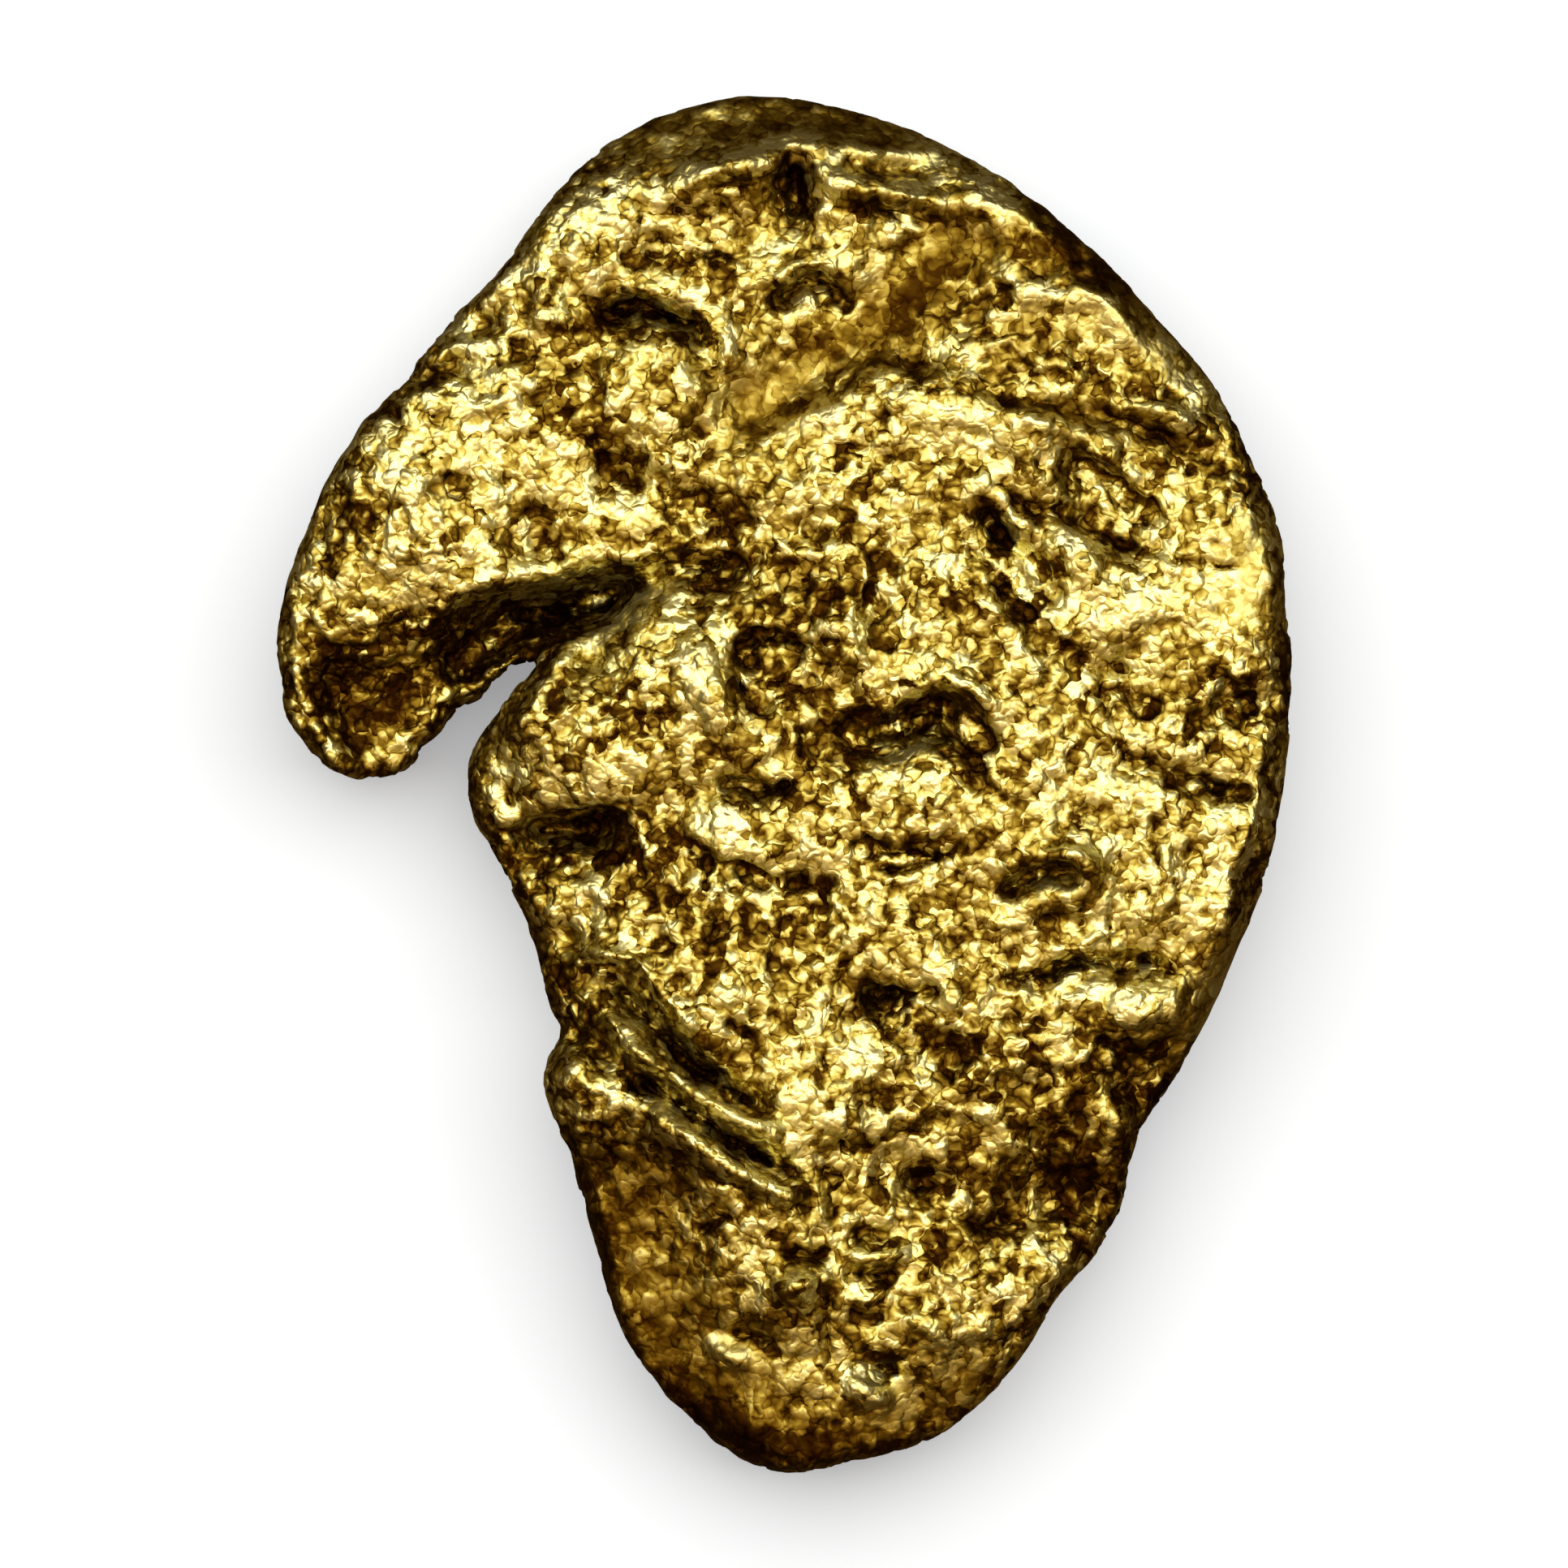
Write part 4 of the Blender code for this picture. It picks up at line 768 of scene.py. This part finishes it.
# Darker and lighter places: left lobe
darken_along((-4.95, -0.3), wide=0.4, amount=0.6)
darken_along((-4.7, -1.4), (-3.9, -0.85), (-3.0, -0.7), wide=1.0, amount=0.8)
darken_along((-4.8, -1.15), (-4.4, -1.6), wide=0.6, amount=2.0)
darken_along((-2.8, -1.6), (-2.8, -2.4), wide=0.5, amount=0.9)
lighten_along((-5.3, 0.6), (-5.2, -0.2), wide=0.5, amount=0.6)
lighten_along((-3.4, 0.0), (-2.6, 0.1), (-2.0, 0.0), wide=0.5, amount=1.2)
lighten_along((-3.9, -0.8), (-3.2, -0.9), wide=0.6, amount=0.6)
lighten_along((-3.8, -0.9), (-3.2, -0.9), wide=0.8, amount=0.35)
lighten_along((-4.1, -2.5), (-3.6, -2.95), (-2.7, -3.05), wide=0.5, amount=1.3)

# Darker and lighter places: middle, below the lobe's tongue
darken_along((-0.8, 0.0), (0.3, -0.2), wide=0.5, amount=0.8)
darken_along((1.9, -0.2), (2.9, -0.3), wide=0.8, amount=0.5)
darken_along((-2.4, -0.7), (-2.1, -0.8), wide=0.6, amount=1.1)
darken_along((0.3, -0.95), wide=0.4, amount=0.8)
darken_along((1.3, -1.45), (1.9, -1.7), wide=0.4, amount=0.7)
darken_along((-2.8, -1.0), (-1.7, -1.7), (-0.6, -2.4), wide=1.6, amount=0.8)
darken_along((-2.4, -1.6), (-1.6, -2.1), wide=0.8, amount=0.6)
darken_along((0.0, -2.0), (-1.0, -3.0), wide=1.5, amount=0.4)
darken_along((0.9, -2.4), (2.2, -2.6), wide=0.5, amount=0.5)
darken_along((-1.4, -2.1), (-1.5, -3.4), wide=0.6, amount=0.5)
darken_along((1.0, -2.1), (1.0, -3.4), wide=0.5, amount=1.5)
darken_along((2.3, -2.9), wide=0.4, amount=0.7)
darken_along((1.4, -3.7), (1.9, -4.1), (2.8, -4.8), (3.8, -5.2), wide=0.8, amount=0.5)
darken_along((0.5, -4.5), (1.1, -4.7), wide=0.5, amount=0.7)
darken_along((0.4, -4.8), (1.4, -5.2), wide=0.9, amount=0.7)
lighten_along((2.4, -0.2), wide=1.3, amount=0.2)
lighten_along((-1.6, -0.6), (-1.2, -0.9), wide=0.5, amount=1.0)
lighten_along((0.3, -1.5), (-0.6, -1.45), wide=0.45, amount=1.6)
lighten_along((1.8, -3.45), wide=0.45, amount=1.1)
lighten_along((1.8, -4.0), wide=0.8, amount=0.35)
lighten_along((0.5, -4.3), (1.2, -5.2), wide=0.9, amount=0.5)
lighten_along((0.7, -4.8), (1.3, -5.1), wide=0.9, amount=0.3)
lighten_along((2.1, -4.75), (2.8, -5.4), wide=0.5, amount=1.5)

# Darker and lighter places: right side, below the groove
darken_along((7.7, -0.7), wide=0.5, amount=1.7)
darken_along((4.4, -0.8), wide=0.4, amount=0.5)
darken_along((7.8, -1.8), wide=0.7, amount=0.6)
darken_along((7.9, -1.8), wide=0.8, amount=0.3)
darken_along((7.3, -1.9), (7.7, -2.4), wide=0.6, amount=0.7)
darken_along((3.5, -2.7), (3.7, -3.3), wide=0.4, amount=0.9)
darken_along((4.2, -3.95), (5.4, -3.75), (6.8, -4.0), wide=0.4, amount=0.6)
darken_along((4.1, -3.7), (4.2, -4.5), wide=0.5, amount=1.0)
darken_along((4.8, -5.1), wide=0.5, amount=0.7)
darken_along((3.9, -5.2), wide=0.8, amount=0.5)
darken_along((4.4, -5.5), wide=0.5, amount=0.9)
lighten_along((4.6, 1.0), (5.2, -0.4), (6.2, -1.0), wide=1.2, amount=0.5)
lighten_along((8.4, -0.1), (8.4, -0.8), wide=0.4, amount=0.7)
lighten_along((5.5, -1.2), (5.8, -1.5), (5.4, -2.0), wide=0.6, amount=2.6)
lighten_along((4.0, -1.75), (3.7, -2.3), wide=0.4, amount=0.9)
lighten_along((4.1, -2.05), (5.0, -1.95), wide=0.5, amount=1.5)
lighten_along((7.9, -1.0), (7.3, -2.8), (6.4, -3.9), wide=1.1, amount=1.1)
lighten_along((3.4, -3.6), (4.2, -2.7), wide=0.9, amount=0.4)
lighten_along((6.2, -3.9), wide=0.9, amount=0.5)
lighten_along((6.2, -4.4), (6.9, -4.3), wide=0.5, amount=1.7)
lighten_along((6.0, -5.2), wide=0.8, amount=0.4)

# Darker and lighter places: nub, notch and folds
darken_along((-2.3, -3.1), (-1.9, -3.6), (-1.4, -4.2), wide=0.5, amount=0.9)
darken_along((-4.0, -3.4), (-3.6, -4.2), wide=1.0, amount=0.8)
darken_along((-3.25, -5.1), wide=0.45, amount=1.0)
lighten_along((-3.3, -3.35), (-2.6, -3.45), (-2.1, -4.1), (-1.4, -4.65), wide=0.45, amount=1.0)
lighten_along((-4.0, -5.2), wide=0.4, amount=0.8)
lighten_along((-3.6, -5.2), wide=0.8, amount=0.35)
lighten_along((-2.5, -4.9), (-1.8, -5.5), wide=0.5, amount=0.9)
lighten_along((-2.6, -4.8), (-1.8, -5.4), (-0.8, -6.0), wide=0.8, amount=0.5)

# Darker and lighter places: tail
darken_along((2.6, -6.3), wide=0.5, amount=0.8)
darken_along((0.6, -7.0), (1.4, -7.2), (2.0, -7.5), wide=0.5, amount=1.2)
darken_along((-3.2, -7.0), (-2.8, -8.0), wide=1.2, amount=0.35)
darken_along((-3.0, -7.0), (-2.8, -8.0), wide=0.9, amount=0.3)
darken_along((2.3, -7.5), (3.0, -7.7), wide=0.6, amount=1.1)
darken_along((-2.8, -7.7), (-2.0, -8.0), wide=0.7, amount=0.6)
darken_along((-0.5, -8.45), wide=0.3, amount=0.6)
darken_along((-3.3, -6.4), (-3.0, -8.0), (-2.3, -9.8), (-1.2, -11.3), wide=1.6, amount=1.2)
darken_along((2.5, -9.0), (3.2, -9.4), wide=0.5, amount=1.3)
darken_along((1.3, -10.1), wide=0.4, amount=0.9)
darken_along((1.7, -10.1), wide=0.5, amount=0.9)
darken_along((0.0, -10.2), (0.2, -11.0), wide=0.6, amount=0.7)
darken_along((-1.6, -11.0), (-0.3, -11.6), (0.9, -11.7), (2.4, -11.2), wide=1.0, amount=1.4)
darken_along((-0.5, -11.6), (0.6, -11.6), wide=0.7, amount=0.9)
darken_along((-0.4, -11.6), (0.6, -11.7), wide=0.6, amount=0.7)
lighten_along((1.0, -6.2), (1.6, -6.2), wide=0.5, amount=0.9)
lighten_along((2.1, -7.3), (2.4, -7.25), wide=0.4, amount=1.2)
lighten_along((0.1, -8.0), wide=0.5, amount=0.9)
lighten_along((2.1, -8.2), wide=0.4, amount=0.7)
lighten_along((-2.6, -8.55), wide=0.4, amount=1.3)
lighten_along((-0.1, -9.2), (0.1, -8.8), (0.6, -8.9), wide=0.6, amount=2.6)
lighten_along((-1.2, -9.85), (-0.6, -10.2), wide=0.45, amount=1.3)
lighten_along((1.2, -10.6), (1.8, -11.0), wide=0.55, amount=2.8)
lighten_along((1.5, -10.7), (2.0, -10.9), wide=0.6, amount=0.6)

# Darker and lighter places: lower right
darken_along((3.2, -5.0), (4.5, -5.5), (4.0, -6.8), wide=1.3, amount=0.6)
darken_along((6.3, -5.1), (5.4, -5.9), (5.2, -7.5), wide=1.7, amount=1.7)
darken_along((2.8, -8.2), (3.6, -8.3), (4.3, -8.5), wide=0.7, amount=1.5)
lighten_along((4.2, -6.45), wide=0.5, amount=1.9)
lighten_along((3.5, -9.0), (4.4, -8.4), wide=1.1, amount=1.2)

points[:, 2] += rise * facing_up
put_back(points)

# The spongy grain: lumps and folds of about a millimetre, and worm-like plates a third that size.
# Worn places have less of it, and places that hold soil and painted shade have more.
LUMP_SIZES, LUMP_HEIGHT = (0.85, 0.45), 0.032
FOLD_SIZES, FOLD_HEIGHT = (1.3, 0.6), 0.10
PLATE_SIZES, PLATE_HEIGHT = (0.26, 0.13), 0.045
gold.data.vertices.foreach_get("normal", normals.reshape(-1))
lively = (1 - 0.85 * calm) * (1 + 0.5 * np.clip(soil_and_shade, 0, 1.5))
lively *= 1 - 0.6 * smooth_step(-normals[:, 2], 0.2, 0.8)
lumps = waves(LUMP_SIZES[0], 3.0) + 0.9 * waves(LUMP_SIZES[1], 9.0)
folds = 0.5 - np.abs(waves(FOLD_SIZES[0], 11.0)) - 0.5 * np.abs(waves(FOLD_SIZES[1], 17.0))
plates = waves(PLATE_SIZES[0], 5.0) + 0.35 * waves(PLATE_SIZES[1], 7.0)
plates = smooth_step(plates, -0.30, 0.12) - 0.6
offset = lively * (LUMP_HEIGHT * lumps + FOLD_HEIGHT * folds + PLATE_HEIGHT * plates)
points += normals * offset[:, None]
put_back(points)


def hollow(rounds):
    """How deep each point lies below the ground round it. More rounds look further out."""
    away = np.stack([relaxed(points[:, axis], rounds) for axis in range(3)], axis=1) - points
    return (away * normals).sum(axis=1)


def keep(name, values):
    gold.data.attributes.new(name, "FLOAT", "POINT").data.foreach_set("value", values)


# Soil and painted shade also fill the small and the broad hollows, and painted shade darkens steep
# places. Slopes that face the near end or the sides, away from the overhead panel, are held to a
# darker painted shade: only level places reach the brightest tone.
CLEAN_TONE, SOIL_AND_SHADE_DARKENS, DEEP_SOIL_AND_SHADE_DARKENS = 0.735, 0.18, 0.10
LEVEL_TONE, TURNED_AWAY_SHADE = 0.95, 0.32
CLOSE_ROUNDS, CLOSE_DEPTH = 7, 0.03
BROAD_ROUNDS, BROAD_DEPTH = 90, 0.16
SLOPE_ROUNDS = 3
# Painted shade on steep places.
soil_and_shade += 1.3 * smooth_step(1 - relaxed(normals[:, 2], SLOPE_ROUNDS), 0.03, 0.35)
# Soil and painted shade in the small and the broad hollows.
soil_and_shade += (1.2 * np.clip(hollow(CLOSE_ROUNDS) / CLOSE_DEPTH, -1, 1)
         + 0.35 * np.clip(hollow(BROAD_ROUNDS) / BROAD_DEPTH, -1, 1))
# Painted shade on slopes turned away from the overhead panel.
turned_from_light = np.maximum(smooth_step(-relaxed(normals[:, 1], SLOPE_ROUNDS), 0.16, 0.46),
                       smooth_step(np.abs(relaxed(normals[:, 0], SLOPE_ROUNDS)), 0.42, 0.66))
tone = CLEAN_TONE - SOIL_AND_SHADE_DARKENS * np.clip(soil_and_shade, -1.0, 2.2)
tone -= DEEP_SOIL_AND_SHADE_DARKENS * np.maximum(soil_and_shade - 3.0, 0)
keep("tone", np.minimum(tone, LEVEL_TONE - TURNED_AWAY_SHADE * turned_from_light))
keep("stain_and_rim_shade", stain_and_rim_shade)
keep("calm", calm)

# Decimation leaves flat and worn places fewer triangles than rough ones. After it, no point is
# below the table, or more than a little above the top of the solid.
PROUD_OF_SOLID = 0.09
triangles = 2 * len(gold.data.polygons)
apply_modifier(gold, "DECIMATE", ratio=MOST_TRIANGLES / triangles, use_collapse_triangulate=True)
thinned = np.empty((len(gold.data.vertices), 3), dtype=np.float32)
gold.data.vertices.foreach_get("co", thinned.reshape(-1))
thinned[:, 2] = np.clip(thinned[:, 2], 0.0, PER_METRE * cad_box[1][2] + PROUD_OF_SOLID)
put_back(thinned)
gold.data.transform(Matrix.Scale(1 / PER_METRE, 4))
gold.data.shade_smooth()
print("surface", count, "vertices before,", len(gold.data.polygons), "triangles after")

# Native gold: polished plates, dark soil and painted shade in the pits, and a brown patina where it
# is worn smooth, which on the rims is also painted shade.
native_gold = bpy.data.materials.new("native_gold")
native_gold.use_nodes = True
nodes = native_gold.node_tree.nodes
links = native_gold.node_tree.links
shader = nodes["Principled BSDF"]


def node(kind, **settings):
    made = nodes.new(kind)
    for key, value in settings.items():
        if key in made.inputs:
            made.inputs[key].default_value = value
        else:
            setattr(made, key, value)
    return made


def math_node(operation, first, second, clamp=False):
    made = node("ShaderNodeMath", operation=operation, use_clamp=clamp)
    for socket, value in zip(made.inputs, (first, second)):
        if isinstance(value, (int, float)):
            socket.default_value = value
        else:
            links.new(value, socket)
    return made.outputs[0]


def scaled(value, share):
    return math_node("MULTIPLY", value, share)


def ramp(value, low, high):
    made = node("ShaderNodeMapRange", interpolation_type="SMOOTHSTEP")
    links.new(value, made.inputs["Value"])
    made.inputs["From Min"].default_value = low
    made.inputs["From Max"].default_value = high
    return made.outputs["Result"]


def attribute(name):
    return node("ShaderNodeAttribute", attribute_name=name).outputs["Fac"]


def cloudy(size, **settings):
    made = node("ShaderNodeTexNoise", Scale=PER_METRE / size, **settings)
    links.new(place, made.inputs["Vector"])
    return made


def bend(size, reach):
    """Positions wandering by this much, for curly edges."""
    bent = node("ShaderNodeVectorMath", operation="MULTIPLY_ADD")
    links.new(cloudy(size, Detail=1.0).outputs["Color"], bent.inputs[0])
    bent.inputs[1].default_value = (reach / PER_METRE,) * 3
    links.new(place, bent.inputs[2])
    return bent.outputs[0]


def cells(size, vector, feature="F1"):
    made = node("ShaderNodeTexVoronoi", feature=feature, Scale=PER_METRE / size)
    links.new(vector, made.inputs["Vector"])
    return made.outputs


place = node("ShaderNodeTexCoord").outputs["Object"]

# Three kinds of grain: flakes, each with a brightness of its own, smaller grains on them, and the
# thin curly cracks between the flakes.
FLAKE_SIZE, GRAIN_SIZE = 0.44, 0.20
CURL_SIZE, CURL_REACH = 0.24, 0.32
CRACK_WIDTH = 0.09
MIDDLE_OF_MOTTLE = 0.565
SMOOTHED_BY_WEAR = 0.7
curly = bend(CURL_SIZE, CURL_REACH)
flakes = cells(FLAKE_SIZE, curly)["Color"]
cracks = ramp(cells(FLAKE_SIZE, curly, "DISTANCE_TO_EDGE")["Distance"], 0.0, CRACK_WIDTH)
small = cells(GRAIN_SIZE, curly)
mottle = math_node("ADD", scaled(flakes, 0.62),
                   math_node("ADD", scaled(small["Color"], 0.60), scaled(cracks, 0.12)))
# Each small grain is painted darker towards its rim: a painted shade where its dome turns from the
# light.
mottle = math_node("SUBTRACT", mottle, scaled(small["Distance"], 0.45))
domes = math_node("SUBTRACT", scaled(flakes, 0.5), small["Distance"])
calmed = math_node("SUBTRACT", 1.0, scaled(attribute("calm"), SMOOTHED_BY_WEAR))
spread = math_node("MULTIPLY", math_node("SUBTRACT", mottle, MIDDLE_OF_MOTTLE), calmed)
shade = math_node("ADD", attribute("tone"), spread, clamp=True)

# From soil and painted shadow, over brown films on the metal, to polished gold: the tone that
# picks a colour here carries painted shade as well as soil.
SOIL_AND_SHADOW = (0.017, 0.005, 0.0005, 1)
DARK_FILM = (0.060, 0.026, 0.0018, 1)
BROWN_FILM = (0.195, 0.122, 0.011, 1)
DULL_GOLD = (0.425, 0.325, 0.058, 1)
CLEAN_GOLD = (0.675, 0.615, 0.22, 1)
POLISHED_GOLD = (0.83, 0.81, 0.42, 1)
tones = node("ShaderNodeValToRGB")
tones.color_ramp.elements[0].color = SOIL_AND_SHADOW
tones.color_ramp.elements[1].color = POLISHED_GOLD
for where, colour in ((0.26, DARK_FILM), (0.44, BROWN_FILM), (0.58, DULL_GOLD), (0.74, CLEAN_GOLD)):
    tones.color_ramp.elements.new(where).color = colour
links.new(shade, tones.inputs["Fac"])

# The brown patina, which on the rims is also painted shade, tints whatever lies under it, in
# cloudy patches.
PATINA_AND_RIM_SHADE = (0.60, 0.50, 0.28, 1)
PATCH_SIZE = 0.5
UNDER_SOCKET, TINT_SOCKET, COLOUR_OUT = 6, 7, 2
patches = ramp(cloudy(PATCH_SIZE, Detail=2.0, Roughness=0.55).outputs["Fac"], 0.10, 0.75)
patina_and_rim_shade = node("ShaderNodeMix", data_type="RGBA", blend_type="MULTIPLY")
links.new(math_node("MULTIPLY", attribute("stain_and_rim_shade"), patches), patina_and_rim_shade.inputs["Factor"])
links.new(tones.outputs["Color"], patina_and_rim_shade.inputs[UNDER_SOCKET])
patina_and_rim_shade.inputs[TINT_SOCKET].default_value = PATINA_AND_RIM_SHADE
links.new(patina_and_rim_shade.outputs[COLOUR_OUT], shader.inputs["Base Color"])

# Clean metal is a little glossier, and the smaller grains stand up as low domes.
DULL_ROUGHNESS, GLOSSIER_BY = 0.50, 0.12
GRAIN_HEIGHT = 0.00004
shader.inputs["Metallic"].default_value = 1.0
roughness = math_node("SUBTRACT", DULL_ROUGHNESS, scaled(shade, GLOSSIER_BY))
links.new(roughness, shader.inputs["Roughness"])
raised = node("ShaderNodeBump", Strength=1.0, Distance=GRAIN_HEIGHT)
links.new(math_node("MULTIPLY", calmed, domes), raised.inputs["Height"])
links.new(raised.outputs["Normal"], shader.inputs["Normal"])

gold.data.materials.clear()
gold.data.materials.append(native_gold)
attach(gold, "root")
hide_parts("nugget")
